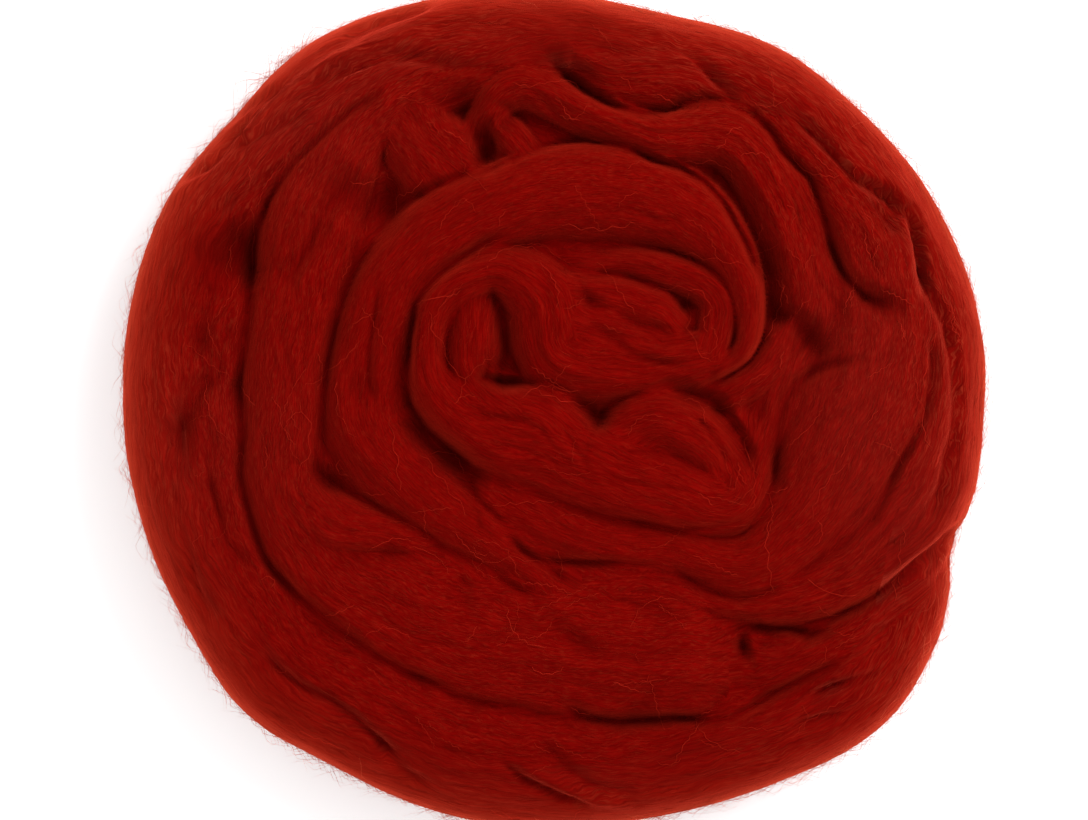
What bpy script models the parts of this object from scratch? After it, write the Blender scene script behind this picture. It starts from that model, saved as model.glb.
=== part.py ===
"""A nest of combed wool roving: one long, soft, untwisted strand wound flat in two courses.

The strand starts under the lower right of the nest, runs once round the rim, passes over its own
start and goes on inwards, folding back on itself until it ends in a small curl in the middle.
Each length of it is a loft between flattened round sections. The lengths, the turns of the
hidden lower course and a filled middle are fused into one solid, cut flat where it rests.
"""

import math
from typing import NamedTuple

import bmesh
import bpy
import numpy as np
from mathutils import Vector

# ---- driving dimensions, in metres ------------------------------------------------------------
MM = 0.001
RIM_ROUNDNESS = 2.7         # exponent of the strand's section: 2 is an ellipse, more is boxier
SECTION_SIDES = 20          # points round one section of the strand
SECTION_PITCH = 4.0 * MM    # distance between two sections along the strand
END_ROUND = 0.75            # how far a strand's closed end bulges, in half depths

LOWER_INSET = 0.975         # reach of the lower rim turn, as a share of the upper one's
LOWER_SWAY = 0.012          # how much that reach comes and goes, twice round
LOWER_WIDTH = 30.0 * MM
LOWER_WAVE = 3.0 * MM       # how much its width swells and shrinks, three times round
LOWER_DEPTH = 24.5 * MM
LOWER_ROWS = 26             # the row of the rim turn by which it has gone once round
BASE_SINK = 3.5 * MM        # how far the bottom turns press into the surface below

SPIRAL_OUTER = 90.0 * MM    # outermost radius of the turns hidden under the nest
SPIRAL_INNER = 5.0 * MM
SPIRAL_TURNS = 3.0
SPIRAL_WIDTH = 27.0 * MM
SPIRAL_DEPTH = 28.0 * MM
SPIRAL_STEPS = 40           # sections in one turn
NEST_STRETCH = 1.04         # the nest is a little wider than it is long

CORE_RADIUS = 97.0 * MM     # the squeezed middle between the two courses
CORE_HALF_DEPTH = 20.0 * MM
CORE_HEIGHT = 23.0 * MM
CORE_SEGMENTS = 48          # faces once round the middle

REST_SPAN = 600.0 * MM      # the block that cuts the nest flat, side and depth
REST_DEPTH = 100.0 * MM

VOXEL = 1.9 * MM            # grain at which the touching turns grow into one body
SMOOTH_FACTOR = 0.5
SMOOTH_STEPS = 3
KEEP_SHARE = 0.117          # share of the fused faces that the finished solid keeps

WOOL_RED = (0.235, 0.009, 0.004, 1.0)
WOOL_ROUGHNESS = 0.92


class Station(NamedTuple):
    """One section of the strand, in millimetres, seen from above."""

    x: float
    y: float
    top: float      # height of the strand's crest
    width: float
    depth: float


# ---- the upper course, a row for each section ------------------------------------------------
# Once round the rim, clockwise from the lower right, over its own start and in towards the middle.
RIM_TURN = [
    Station(100, -22, 26, 18, 22),
    Station(100.3, -38, 31, 21, 26),
    Station(96, -57.5, 37, 23, 27),
    Station(84, -78, 40, 23, 27),
    Station(58, -91.5, 42, 24, 27),
    Station(30, -99, 42, 26, 27),
    Station(0, -100, 42, 31, 27),
    Station(-30, -94, 43, 34, 27),
    Station(-58.5, -81.5, 43, 33, 27),
    Station(-72.5, -73, 43, 33, 27),
    Station(-82, -61.4, 43, 32, 27),
    Station(-96, -36, 44, 31, 27),
    Station(-101.5, -5, 44, 34, 27),
    Station(-100.6, 24, 43, 34, 27),
    Station(-94.5, 51.5, 39, 28, 26),
    Station(-78.5, 75, 43, 22.5, 27),
    Station(-67.5, 86, 43, 23.5, 27),
    Station(-57, 93.4, 43, 23.5, 27),
    Station(-30, 104, 42, 20, 27),
    Station(0, 105, 42, 20, 27),
    Station(28, 100.5, 41, 18.5, 27),
    Station(55, 92, 41, 20, 27),
    Station(77, 74.5, 41, 22, 27),
    Station(95.3, 47.7, 40, 26, 27),
    Station(105, 18, 40, 26, 27),
    Station(105.2, -8, 41, 26, 27),
    Station(101, -26, 43, 26, 27),
    Station(88, -39, 44, 22, 27),
    Station(70, -49.5, 45, 17, 25),
    Station(48, -52.5, 43, 9, 20),
    Station(28, -46, 41, 8, 18),
    Station(2, -48, 34, 7, 14),
]
# The fold that lies along the inside of the rim on the right.
RIM_FOLD = [
    Station(104, 30, 36, 8, 16),
    Station(105, 8, 44, 10, 18),
    Station(97, -18, 45, 12, 18),
    Station(80, -40, 45, 10, 17),
    Station(64, -48, 40, 8, 14),
]
# The slack tucked between the rim and the second turn at the top.
TOP_TUCK = [
    Station(2, 97, 36, 6, 16),
    Station(14, 91.5, 42, 13, 22),
    Station(34, 90, 43, 14, 22),
    Station(57, 82, 36, 8, 16),
]
# The small roll where the rim turn starts, at the lower right.
START_ROLL = [
    Station(52, -72, 34, 8, 18),
    Station(63, -70, 39, 15, 24),
    Station(83, -61, 40, 14, 24),
    Station(97, -51, 36, 11, 20),
]
# The second turn: down the left side and along the bottom into a broad lobe.
SECOND_TURN = [
    Station(-22, 97, 38, 8, 20),
    Station(-40, 91.5, 43, 12, 24),
    Station(-54, 78.5, 46, 20, 30),
    Station(-64, 59, 48, 26, 34),
    Station(-71, 32, 48, 25, 34),
    Station(-74.5, 2, 48, 23, 34),
    Station(-73.5, -23, 47, 24, 34),
    Station(-62, -42, 46, 29, 34),
    Station(-38, -57, 45, 36, 34),
    Station(-8, -64.5, 45, 37, 34),
    Station(20, -67, 46, 38, 34),
    Station(40, -67, 45, 33, 32),
    Station(50, -66, 34, 14, 16),
]
SECOND_TURN_FOLD = [
    Station(-70, -20, 44, 10, 20),
    Station(-60, -30, 48, 15, 24),
    Station(-44, -34.5, 46, 9, 21),
    Station(-34, -37, 40, 5, 14),
]
# Slack that bulges up between the rim and the third turn at the upper left.
TOP_SLACK = [
    Station(-44, 84, 38, 9, 18),
    Station(-32, 88, 43, 14, 24),
    Station(-16, 94, 46, 15, 26),
    Station(0, 97, 43, 11, 20),
]
TOP_LOBE = [
    Station(-42, 82, 42, 15, 22),
    Station(-34.5, 72, 48, 25, 32),
    Station(-25, 62, 43, 17, 24),
]
SMALL_ROLL = [
    Station(-16, 80, 40, 6, 16),
    Station(-12, 76, 45, 10, 22),
    Station(-7, 70, 44, 9, 22),
]
# From the hook at the top, down the right side, back along the bottom, up round the left of the
# middle and into the curl.
INNER_TURN = [
    Station(-21, 66, 38, 9, 20),
    Station(-20, 79, 45, 10, 25),
    Station(-10, 88.5, 48, 12, 28),
    Station(8, 82, 48, 13, 30),
    Station(27, 75.5, 48, 14, 32),
    Station(49, 74, 47, 17, 32),
    Station(63, 55, 47, 20, 32),
    Station(69, 30, 45, 21, 32),
    Station(62, 8, 43, 16, 30),
    Station(57, -10, 42, 10, 28),
    Station(50, -26, 49, 15, 34),
    Station(28, -21, 52, 23, 38),
    Station(-2, -11, 52, 26, 38),
    Station(-24, -4, 52, 21, 38),
    Station(-35, 10, 53, 13, 37),
    Station(-32, 30, 53, 13, 36),
    Station(-16, 38.5, 53, 14, 36),
    Station(-3.5, 31, 54, 21, 36),
    Station(1.5, 15, 53, 22, 36),
    Station(24, 11, 52, 15, 34),
    Station(43, 14, 50, 11, 30),
    Station(44, 31, 50, 11, 30),
    Station(24, 40, 49, 9, 26),
    Station(3, 40, 40, 4, 12),
]
INNER_FOLD = [
    Station(-21.5, 33, 47, 9, 22),
    Station(-22.5, 22, 51, 13, 30),
    Station(-22, 11, 51, 13, 30),
    Station(-8, -1, 49, 9, 24),
]
HUMP_LEFT = [
    Station(-16, 2, 47, 10, 24),
    Station(-3, -1, 52, 15, 28),
    Station(9, -11, 48, 11, 22),
]
HUMP_RIGHT = [
    Station(13, -7, 46, 11, 22),
    Station(30, -3, 53, 18, 30),
    Station(44, -10, 51, 15, 26),
    Station(51, -21, 46, 8, 20),
]
# The tongue of wool inside the curl.
TONGUE = [
    Station(3, 33, 50, 10, 24),
    Station(18, 31, 51, 12, 28),
    Station(29, 27.5, 50, 11, 26),
    Station(33, 24, 48, 8, 22),
]
# The fold on the near side of the tongue.
TONGUE_FOLD = [
    Station(5, 24.5, 51, 12, 28),
    Station(18, 21, 51, 11, 28),
    Station(29, 17.5, 50, 10, 26),
    Station(38, 18, 48, 8, 22),
]
# The third turn: the crescent over the middle, down its left side and off to the lower right.
THIRD_TURN = [
    Station(36, 7, 44, 5, 18),
    Station(52, 17, 51, 7, 27),
    Station(52, 37, 53, 12, 32),
    Station(37, 54, 53, 23, 37),
    Station(10, 60, 53, 27, 38),
    Station(-16, 56, 53, 24, 38),
    Station(-39, 42, 51, 22, 38),
    Station(-50, 18, 50, 21, 36),
    Station(-52, -4, 49, 24, 36),
    Station(-38, -22, 48, 20, 34),
    Station(-16, -37, 46, 12, 28),
    Station(2, -47, 38, 6, 14),
]
# The turn down the right side, which swings back to the left under the middle.
RIGHT_TURN = [
    Station(60, 82, 38, 9, 18),
    Station(74.5, 66, 44, 16, 28),
    Station(86, 50, 45, 22, 30),
    Station(90, 34, 47, 24, 32),
    Station(90, 17, 49, 30, 35),
    Station(84, -3, 51, 37, 38),
    Station(72, -27, 50, 28, 36),
    Station(54, -42, 48, 16, 32),
    Station(34, -39.5, 46, 11, 27),
    Station(8, -35, 47, 12, 28),
    Station(-18, -22, 40, 8, 18),
]
CROSS_STRAND = [
    Station(66, 22, 40, 8, 18),
    Station(54, 8, 46, 10, 24),
    Station(43, 2, 40, 5, 14),
]
UPPER_LENGTHS = {
    "rim_turn": RIM_TURN,
    "rim_fold": RIM_FOLD,
    "top_tuck": TOP_TUCK,
    "start_roll": START_ROLL,
    "second_turn": SECOND_TURN,
    "second_turn_fold": SECOND_TURN_FOLD,
    "top_slack": TOP_SLACK,
    "top_lobe": TOP_LOBE,
    "small_roll": SMALL_ROLL,
    "inner_turn": INNER_TURN,
    "inner_fold": INNER_FOLD,
    "hump_left": HUMP_LEFT,
    "hump_right": HUMP_RIGHT,
    "tongue": TONGUE,
    "tongue_fold": TONGUE_FOLD,
    "third_turn": THIRD_TURN,
    "right_turn": RIGHT_TURN,
    "cross_strand": CROSS_STRAND,
}


def clear_scene():
    """Remove every object that the scene opens with."""
    for obj in list(bpy.data.objects):
        bpy.data.objects.remove(obj, do_unlink=True)


def new_collection(name):
    """A collection of this name under the scene's own."""
    collection = bpy.data.collections.new(name)
    bpy.context.scene.collection.children.link(collection)
    return collection


def wool_material():
    """Deep red dyed wool, quite matt."""
    material = bpy.data.materials.new("dyed_wool")
    material.use_nodes = True
    shader = material.node_tree.nodes["Principled BSDF"]
    shader.inputs["Base Color"].default_value = WOOL_RED
    shader.inputs["Roughness"].default_value = WOOL_ROUGHNESS
    shader.inputs["Metallic"].default_value = 0.0
    return material


def smooth_rows(stations):
    """Rows of the table joined by one smooth curve, a row every SECTION_PITCH, in metres.

    A cubic Hermite curve runs through the stations. Its slope at each is the weighted mean of
    the slopes on both sides, with chord lengths as the parameter, so it doesn't overshoot.
    """
    rows = np.array(stations, float) * MM
    steps = np.linalg.norm(np.diff(rows[:, :2], axis=0), axis=1)
    knots = np.concatenate([[0.0], np.cumsum(np.sqrt(steps))])
    gaps = np.diff(knots)[:, None]
    chords = np.diff(rows, axis=0) / gaps
    slopes = np.empty_like(rows)
    slopes[0] = chords[0]
    slopes[-1] = chords[-1]
    slopes[1:-1] = (chords[:-1] * gaps[1:] + chords[1:] * gaps[:-1]) / (gaps[1:] + gaps[:-1])
    pieces = []
    for i, step in enumerate(steps):
        count = max(3, int(round(step / SECTION_PITCH)) + 1)
        last = i == len(steps) - 1
        t = np.linspace(0.0, 1.0, count, endpoint=last)[:, None]
        gap = gaps[i]
        pieces.append(
            (2 * t**3 - 3 * t**2 + 1) * rows[i]
            + (t**3 - 2 * t**2 + t) * gap * slopes[i]
            + (3 * t**2 - 2 * t**3) * rows[i + 1]
            + (t**3 - t**2) * gap * slopes[i + 1]
        )
    return np.concatenate(pieces)


def section_circle():
    """Unit section of the strand: across and up, a circle squared off by RIM_ROUNDNESS."""
    angle = np.linspace(0.0, 2 * math.pi, SECTION_SIDES, endpoint=False)
    power = 2.0 / RIM_ROUNDNESS
    across = np.sign(np.cos(angle)) * np.abs(np.cos(angle)) ** power
    up = np.sign(np.sin(angle)) * np.abs(np.sin(angle)) ** power
    return across, up


def loft(build, rows, closed=False):
    """Add to the bmesh a strand through rows of (x, y, top, width, depth), with closed ends.

    Sections stand upright, square to the path, and unlike in width and depth. An open strand is
    closed by one point at each end, pushed out along the path.
    """
    ahead = np.gradient(rows[:, :2], axis=0)
    if closed:
        ahead = np.roll(rows[:, :2], -1, axis=0) - np.roll(rows[:, :2], 1, axis=0)
    ahead /= np.linalg.norm(ahead, axis=1)[:, None]
    side = np.stack([-ahead[:, 1], ahead[:, 0]], axis=1)
    across, up = section_circle()
    rings = []
    for row, left in zip(rows, side):
        x, y, top, width, depth = row
        middle = top - depth / 2
        ring = [
            build.verts.new(
                (
                    x + left[0] * a * width / 2,
                    y + left[1] * a * width / 2,
                    middle + u * depth / 2,
                )
            )
            for a, u in zip(across, up)
        ]
        rings.append(ring)
    pairs = list(zip(rings[:-1], rings[1:]))
    if closed:
        pairs.append((rings[-1], rings[0]))
    for first, second in pairs:
        for k in range(SECTION_SIDES):
            nxt = (k + 1) % SECTION_SIDES
            build.faces.new((first[k], first[nxt], second[nxt], second[k]))
    if closed:
        return
    for ring, row, way, sign in ((rings[0], rows[0], ahead[0], -1), (rings[-1], rows[-1], ahead[-1], 1)):
        reach = sign * END_ROUND * row[4] / 2
        tip = build.verts.new((row[0] + way[0] * reach, row[1] + way[1] * reach, row[2] - row[4] / 2))
        for k in range(SECTION_SIDES):
            nxt = (k + 1) % SECTION_SIDES
            if sign > 0:
                build.faces.new((ring[k], ring[nxt], tip))
            else:
                build.faces.new((ring[nxt], ring[k], tip))


def lower_rim_rows():
    """The rim of the lower course: the rim turn's path, a little smaller, pressed on the base."""
    top = (LOWER_DEPTH - BASE_SINK) / MM
    ring = []
    for row in RIM_TURN[1:LOWER_ROWS]:
        bearing = math.atan2(row.y, row.x)
        width = (LOWER_WIDTH - LOWER_WAVE * math.sin(3 * bearing)) / MM
        share = LOWER_INSET + LOWER_SWAY * math.sin(2 * bearing + 1.0)
        reach = math.hypot(row.x, row.y)
        outer_edge = reach + row.width / 2
        middle = (outer_edge * share - width / 2) / reach
        ring.append(Station(row.x * middle, row.y * middle, top, width, LOWER_DEPTH / MM))
    ring.append(ring[0])
    return smooth_rows(ring)[:-1]


def lower_spiral_rows():
    """The hidden turns of the lower course: a flat spiral that winds in from the rim."""
    count = int(SPIRAL_TURNS * SPIRAL_STEPS)
    share = np.linspace(0.0, 1.0, count)
    angle = -2 * math.pi * SPIRAL_TURNS * share
    radius = SPIRAL_OUTER + (SPIRAL_INNER - SPIRAL_OUTER) * share
    return np.stack(
        [
            radius * np.cos(angle) * NEST_STRETCH,
            radius * np.sin(angle),
            np.full(count, SPIRAL_DEPTH - BASE_SINK),
            np.full(count, SPIRAL_WIDTH),
            np.full(count, SPIRAL_DEPTH),
        ],
        axis=1,
    )


def add_core(build):
    """The squeezed middle that the upper and lower courses press against each other."""
    made = bmesh.ops.create_uvsphere(
        build, u_segments=CORE_SEGMENTS, v_segments=CORE_SEGMENTS // 2, radius=1.0
    )["verts"]
    size = Vector((CORE_RADIUS * NEST_STRETCH, CORE_RADIUS, CORE_HALF_DEPTH))
    bmesh.ops.scale(build, vec=size, verts=made)
    bmesh.ops.translate(build, vec=Vector((0.0, 0.0, CORE_HEIGHT)), verts=made)


def wound_lengths():
    """One mesh that holds every length of the strand, still as separate closed shells."""
    build = bmesh.new()
    for stations in UPPER_LENGTHS.values():
        loft(build, smooth_rows(stations))
    loft(build, lower_rim_rows(), closed=True)
    loft(build, lower_spiral_rows())
    add_core(build)
    bmesh.ops.recalc_face_normals(build, faces=build.faces)
    mesh = bpy.data.meshes.new("wound_lengths")
    build.to_mesh(mesh)
    build.free()
    return mesh


def evaluated_mesh(obj, name):
    """The object's mesh with its modifiers applied, as a new mesh."""
    graph = bpy.context.evaluated_depsgraph_get()
    mesh = bpy.data.meshes.new_from_object(obj.evaluated_get(graph))
    mesh.name = name
    return mesh


def keep_outer_shell(mesh):
    """Drop the walls of pockets shut inside the body, and any crumb: the largest shell stays."""
    build = bmesh.new()
    build.from_mesh(mesh)
    unseen = set(build.verts)
    shells = []
    while unseen:
        start = unseen.pop()
        shell = [start]
        stack = [start]
        while stack:
            vertex = stack.pop()
            for edge in vertex.link_edges:
                other = edge.other_vert(vertex)
                if other in unseen:
                    unseen.remove(other)
                    shell.append(other)
                    stack.append(other)
        shells.append(shell)
    shells.sort(key=len)
    for shell in shells[:-1]:
        bmesh.ops.delete(build, geom=shell, context="VERTS")
    build.to_mesh(mesh)
    build.free()


def fuse(mesh, collection):
    """Grow the touching lengths into one body, and soften the creases where they meet."""
    body = bpy.data.objects.new("fusing", mesh)
    collection.objects.link(body)
    remesh = body.modifiers.new("grow_together", "REMESH")
    remesh.mode = "VOXEL"
    remesh.voxel_size = VOXEL
    fused = evaluated_mesh(body, "fused")
    keep_outer_shell(fused)
    body.modifiers.clear()
    body.data = fused
    soften = body.modifiers.new("soften", "SMOOTH")
    soften.factor = SMOOTH_FACTOR
    soften.iterations = SMOOTH_STEPS
    thin = body.modifiers.new("thin_out", "DECIMATE")
    thin.ratio = KEEP_SHARE
    finished = evaluated_mesh(body, "roving_coil")
    bpy.data.objects.remove(body, do_unlink=True)
    return finished


def centre_over_origin(mesh):
    """Move the mesh level, so that the middle of its box is over the origin."""
    points = np.empty(len(mesh.vertices) * 3)
    mesh.vertices.foreach_get("co", points)
    points = points.reshape(-1, 3)
    middle = (points.max(axis=0) + points.min(axis=0)) / 2
    points[:, :2] -= middle[:2]
    mesh.vertices.foreach_set("co", points.ravel())
    mesh.update()


def flat_cutter(collection):
    """A broad block whose top is the surface the nest rests on."""
    bpy.ops.mesh.primitive_cube_add(size=1.0, location=(0.0, 0.0, -REST_DEPTH / 2))
    cutter = bpy.context.active_object
    cutter.name = "rest_cutter"
    cutter.scale = (REST_SPAN, REST_SPAN, REST_DEPTH)
    for old in list(cutter.users_collection):
        old.objects.unlink(cutter)
    collection.objects.link(cutter)
    cutter.display_type = "WIRE"
    cutter.hide_render = True
    return cutter


def main():
    """Build the nest of roving as one solid that rests flat on z = 0."""
    clear_scene()
    parts = new_collection("wool_roving")
    cutters = new_collection("cutters")
    mesh = fuse(wound_lengths(), parts)
    centre_over_origin(mesh)
    mesh.shade_smooth()
    nest = bpy.data.objects.new("roving_coil", mesh)
    nest.data.materials.append(wool_material())
    parts.objects.link(nest)
    rest = nest.modifiers.new("rest_flat", "BOOLEAN")
    rest.operation = "DIFFERENCE"
    rest.solver = "EXACT"
    rest.object = flat_cutter(cutters)


main()
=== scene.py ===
"""Looks of a nest of combed wool roving, wound flat from one long soft strand.

The strand's lengths are rounded bands that run along smooth paths. Together they give one closed
skin: a crown seen from above, a flank that falls from the rim to the table, and an underside.
Pleats run along each length, creases are pressed into the crown, and single fibres follow the
strand, stray across it or stand off its rim as fuzz.
"""

import logging
import math
from dataclasses import dataclass, field
from enum import Enum
from typing import Dict, List, NamedTuple, Optional, Sequence, Tuple

import bpy
import numpy as np
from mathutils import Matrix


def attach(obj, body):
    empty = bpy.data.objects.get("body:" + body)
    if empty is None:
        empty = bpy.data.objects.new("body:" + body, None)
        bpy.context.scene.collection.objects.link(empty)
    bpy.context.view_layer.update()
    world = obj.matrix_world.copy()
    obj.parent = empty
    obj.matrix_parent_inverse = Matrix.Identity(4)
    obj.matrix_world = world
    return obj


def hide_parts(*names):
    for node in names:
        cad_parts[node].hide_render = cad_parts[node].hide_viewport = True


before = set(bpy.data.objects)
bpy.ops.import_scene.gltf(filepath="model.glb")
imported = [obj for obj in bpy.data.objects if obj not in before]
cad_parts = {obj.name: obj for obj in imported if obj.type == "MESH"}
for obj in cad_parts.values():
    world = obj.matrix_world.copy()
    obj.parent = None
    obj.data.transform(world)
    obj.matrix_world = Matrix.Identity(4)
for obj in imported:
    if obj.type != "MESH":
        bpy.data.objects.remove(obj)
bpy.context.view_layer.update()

log = logging.getLogger("wool_roving")
Array = np.ndarray
Socket = bpy.types.NodeSocket
MM = 0.001
TAU = 2.0 * math.pi
EIGHTH = math.pi / 4.0  # an eighth of a turn
END_FADE = 5 * MM  # length over which a crease fades at either end
WIDE = 4.3  # width from which a crease has a broad floor, in millimetres
EDGE_SLOPE = 3.0  # how steeply a length falls away past its edge
LEAST_SHARE = 0.02  # below this share a length's pleats aren't worked out
SHADY_SIDE = 2.95  # bearing of the side away from the window, where the painted edge glow is strongest, in radians
RIM_RADIUS = 105.0  # mean radius of the rim, in millimetres
ROW_DROP = 1.4 * MM  # distance down the flank from row to row
RIM_LAP = 26  # rows in which the rim turn goes once round
INNER_LAP = 21  # rows of the inner turn before it curls in
TABLE_GAP = 0.3 * MM  # least height of a fibre's middle above the table


# --- The strand's course ---


class Station(NamedTuple):
    """One section of the strand, in millimetres, seen from above."""

    x: float
    y: float
    top: float
    width: float
    depth: float


class SideFold(NamedTuple):
    """A fold that runs round the flank.

    Attributes:
        depth: its greatest depth, in millimetres.
        width: its half width.
        height: its height above the table.
        sway: how far it goes up and down on its way round.
        lobes: how many times it does so.
        start: where on that wave it starts, in radians.
    """

    depth: float
    width: float
    height: float
    sway: float
    lobes: int
    start: float


class PaintedPatch(NamedTuple):
    """A round patch, in millimetres, that paints light into the wool's colour: sheen in the first table
    below, shade in the second.
    """

    x: float
    y: float
    reach: float
    share: float


class Crease(NamedTuple):
    """A line pressed into the crown, or raised where depth is below 0, in millimetres."""

    depth: float
    width: float
    points: Sequence[Tuple[float, float]]


def stations(*rows: Sequence[float]) -> List[Station]:
    """Stations from rows of (x, y, top, width, depth)."""
    return [Station(*row) for row in rows]


def creases(*rows: Sequence[object]) -> List[Crease]:
    """Creases from rows of (depth, width, first point, second point, and so on)."""
    return [Crease(depth, width, points) for depth, width, *points in rows]


# Columns: x, y, top, width and depth.
RIM_TURN = stations(
    (100, -22, 26, 18, 22),
    (99.7, -38.5, 31, 19.5, 26),
    (96, -57.5, 37, 23, 27),
    (84, -78, 40, 23, 27),
    (58, -91.5, 42, 24, 27),
    (30, -99, 42, 26, 27),
    (0, -100, 42, 31, 27),
    (-30, -94, 43, 34, 27),
    (-58.5, -81.5, 43, 33, 27),
    (-72.5, -73, 43, 33, 27),
    (-82, -61.4, 43, 32, 27),
    (-96, -36, 44, 31, 27),
    (-101.5, -5, 44, 34, 27),
    (-100.6, 24, 43, 34, 27),
    (-94.5, 51.5, 39, 28, 26),
    (-78.5, 75, 43, 22.5, 27),
    (-67.5, 86, 43, 23.5, 27),
    (-57, 93.4, 43, 23.5, 27),
    (-30, 104, 42, 20, 27),
    (0, 105, 42, 20, 27),
    (28, 100.5, 41, 18.5, 27),
    (55, 92, 41, 20, 27),
    (77, 74.5, 41, 22, 27),
    (95.3, 47.7, 40, 26, 27),
    (105, 18, 40, 26, 27),
    (105.2, -8, 41, 26, 27),
    (101, -26, 43, 26, 27),
    (88, -39, 44, 22, 27),
    (70, -49.5, 45, 17, 25),
    (48, -52.5, 43, 9, 20),
    (28, -46, 41, 8, 18),
    (2, -48, 34, 7, 14),
)
RIM_FOLD = stations(
    (104, 30, 36, 8, 16),
    (105, 8, 44, 10, 18),
    (97, -18, 45, 12, 18),
    (80, -40, 45, 10, 17),
    (64, -48, 40, 8, 14),
)
TOP_TUCK = stations(
    (2, 97, 36, 6, 16),
    (14, 91.5, 42, 13, 22),
    (34, 90, 43, 14, 22),
    (57, 82, 36, 8, 16),
)
START_ROLL = stations(
    (52, -72, 34, 8, 18),
    (63, -70, 39, 15, 24),
    (83, -61, 40, 14, 24),
    (97, -51, 36, 11, 20),
)
SECOND_TURN = stations(
    (-22, 97, 38, 8, 20),
    (-40, 91.5, 43, 12, 24),
    (-54, 78.5, 46, 20, 30),
    (-64, 59, 48, 26, 34),
    (-71, 32, 48, 25, 34),
    (-74.5, 2, 48, 23, 34),
    (-73.5, -23, 47, 24, 34),
    (-62, -42, 46, 29, 34),
    (-38, -57, 45, 36, 34),
    (-8, -64.5, 45, 37, 34),
    (20, -67, 46, 38, 34),
    (40, -67, 45, 33, 32),
    (50, -66, 34, 14, 16),
)
SECOND_TURN_FOLD = stations(
    (-70, -20, 44, 10, 20),
    (-60, -30, 48, 15, 24),
    (-44, -34.5, 46, 9, 21),
    (-34, -37, 40, 5, 14),
)
TOP_SLACK = stations(
    (-44, 84, 38, 9, 18),
    (-32, 88, 43, 14, 24),
    (-16, 94, 46, 15, 26),
    (0, 97, 43, 11, 20),
)
TOP_LOBE = stations(
    (-42, 82, 42, 15, 22),
    (-34.5, 72, 48, 25, 32),
    (-25, 62, 43, 17, 24),
)
SMALL_ROLL = stations(
    (-16, 80, 40, 6, 16),
    (-12, 76, 45, 10, 22),
    (-7, 70, 44, 9, 22),
)
INNER_TURN = stations(
    (-21, 66, 38, 9, 20),
    (-20, 79, 45, 10, 25),
    (-10, 88.5, 48, 12, 28),
    (8, 82, 48, 13, 30),
    (27, 75.5, 48, 14, 32),
    (49, 74, 47, 17, 32),
    (63, 55, 47, 20, 32),
    (69, 30, 45, 21, 32),
    (62, 8, 43, 16, 30),
    (57, -10, 42, 10, 28),
    (50, -26, 49, 15, 34),
    (28, -21, 52, 23, 38),
    (-2, -11, 52, 26, 38),
    (-24, -4, 52, 21, 38),
    (-35, 10, 53, 13, 37),
    (-32, 30, 53, 13, 36),
    (-16, 38.5, 53, 14, 36),
    (-3.5, 31, 54, 21, 36),
    (1.5, 15, 53, 22, 36),
    (24, 11, 52, 15, 34),
    (43, 14, 50, 11, 30),
    (44, 31, 50, 11, 30),
    (24, 40, 49, 9, 26),
    (3, 40, 40, 4, 12),
)
INNER_FOLD = stations(
    (-21.5, 33, 47, 9, 22),
    (-22.5, 22, 51, 13, 30),
    (-22, 11, 51, 13, 30),
    (-8, -1, 49, 9, 24),
)
HUMP_LEFT = stations(
    (-16, 2, 47, 10, 24),
    (-3, -1, 52, 15, 28),
    (9, -11, 48, 11, 22),
)
HUMP_RIGHT = stations(
    (13, -7, 46, 11, 22),
    (30, -3, 53, 18, 30),
    (44, -10, 51, 15, 26),
    (51, -21, 46, 8, 20),
)
TONGUE = stations(
    (3, 33, 50, 10, 24),
    (18, 31, 51, 12, 28),
    (29, 27.5, 50, 11, 26),
    (33, 24, 48, 8, 22),
)
TONGUE_FOLD = stations(
    (5, 24.5, 51, 12, 28),
    (18, 21, 51, 11, 28),
    (29, 17.5, 50, 10, 26),
    (38, 18, 48, 8, 22),
)
THIRD_TURN = stations(
    (36, 7, 44, 5, 18),
    (52, 17, 51, 7, 27),
    (52, 37, 53, 12, 32),
    (37, 54, 53, 23, 37),
    (10, 60, 53, 27, 38),
    (-16, 56, 53, 24, 38),
    (-39, 42, 51, 22, 38),
    (-50, 18, 50, 21, 36),
    (-52, -4, 49, 24, 36),
    (-38, -22, 48, 20, 34),
    (-16, -37, 46, 12, 28),
    (2, -47, 38, 6, 14),
)
RIGHT_TURN = stations(
    (60, 82, 38, 9, 18),
    (74.5, 66, 44, 16, 28),
    (86, 50, 45, 22, 30),
    (90, 34, 47, 24, 32),
    (90, 17, 49, 30, 35),
    (84, -3, 51, 37, 38),
    (72, -27, 50, 28, 36),
    (54, -42, 48, 16, 32),
    (34, -39.5, 46, 11, 27),
    (8, -35, 47, 12, 28),
    (-18, -22, 40, 8, 18),
)
CROSS_STRAND = stations(
    (66, 22, 40, 8, 18),
    (54, 8, 46, 10, 24),
    (43, 2, 40, 5, 14),
)

UPPER = dict(
    rim_turn=RIM_TURN[:RIM_LAP], rim_end=RIM_TURN[RIM_LAP - 1 :], rim_fold=RIM_FOLD,
    top_tuck=TOP_TUCK, start_roll=START_ROLL, second_turn=SECOND_TURN,
    second_turn_fold=SECOND_TURN_FOLD, top_slack=TOP_SLACK, top_lobe=TOP_LOBE,
    small_roll=SMALL_ROLL, inner_turn=INNER_TURN[:INNER_LAP], inner_curl=INNER_TURN[INNER_LAP - 1 :],
    inner_fold=INNER_FOLD, hump_left=HUMP_LEFT, hump_right=HUMP_RIGHT, tongue=TONGUE,
    tongue_fold=TONGUE_FOLD, third_turn=THIRD_TURN, right_turn=RIGHT_TURN, cross_strand=CROSS_STRAND,
)

# Painted sheen: patches where the colour is veiled with a paler red, standing in for the window light
# catching the surface fibres.
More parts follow.
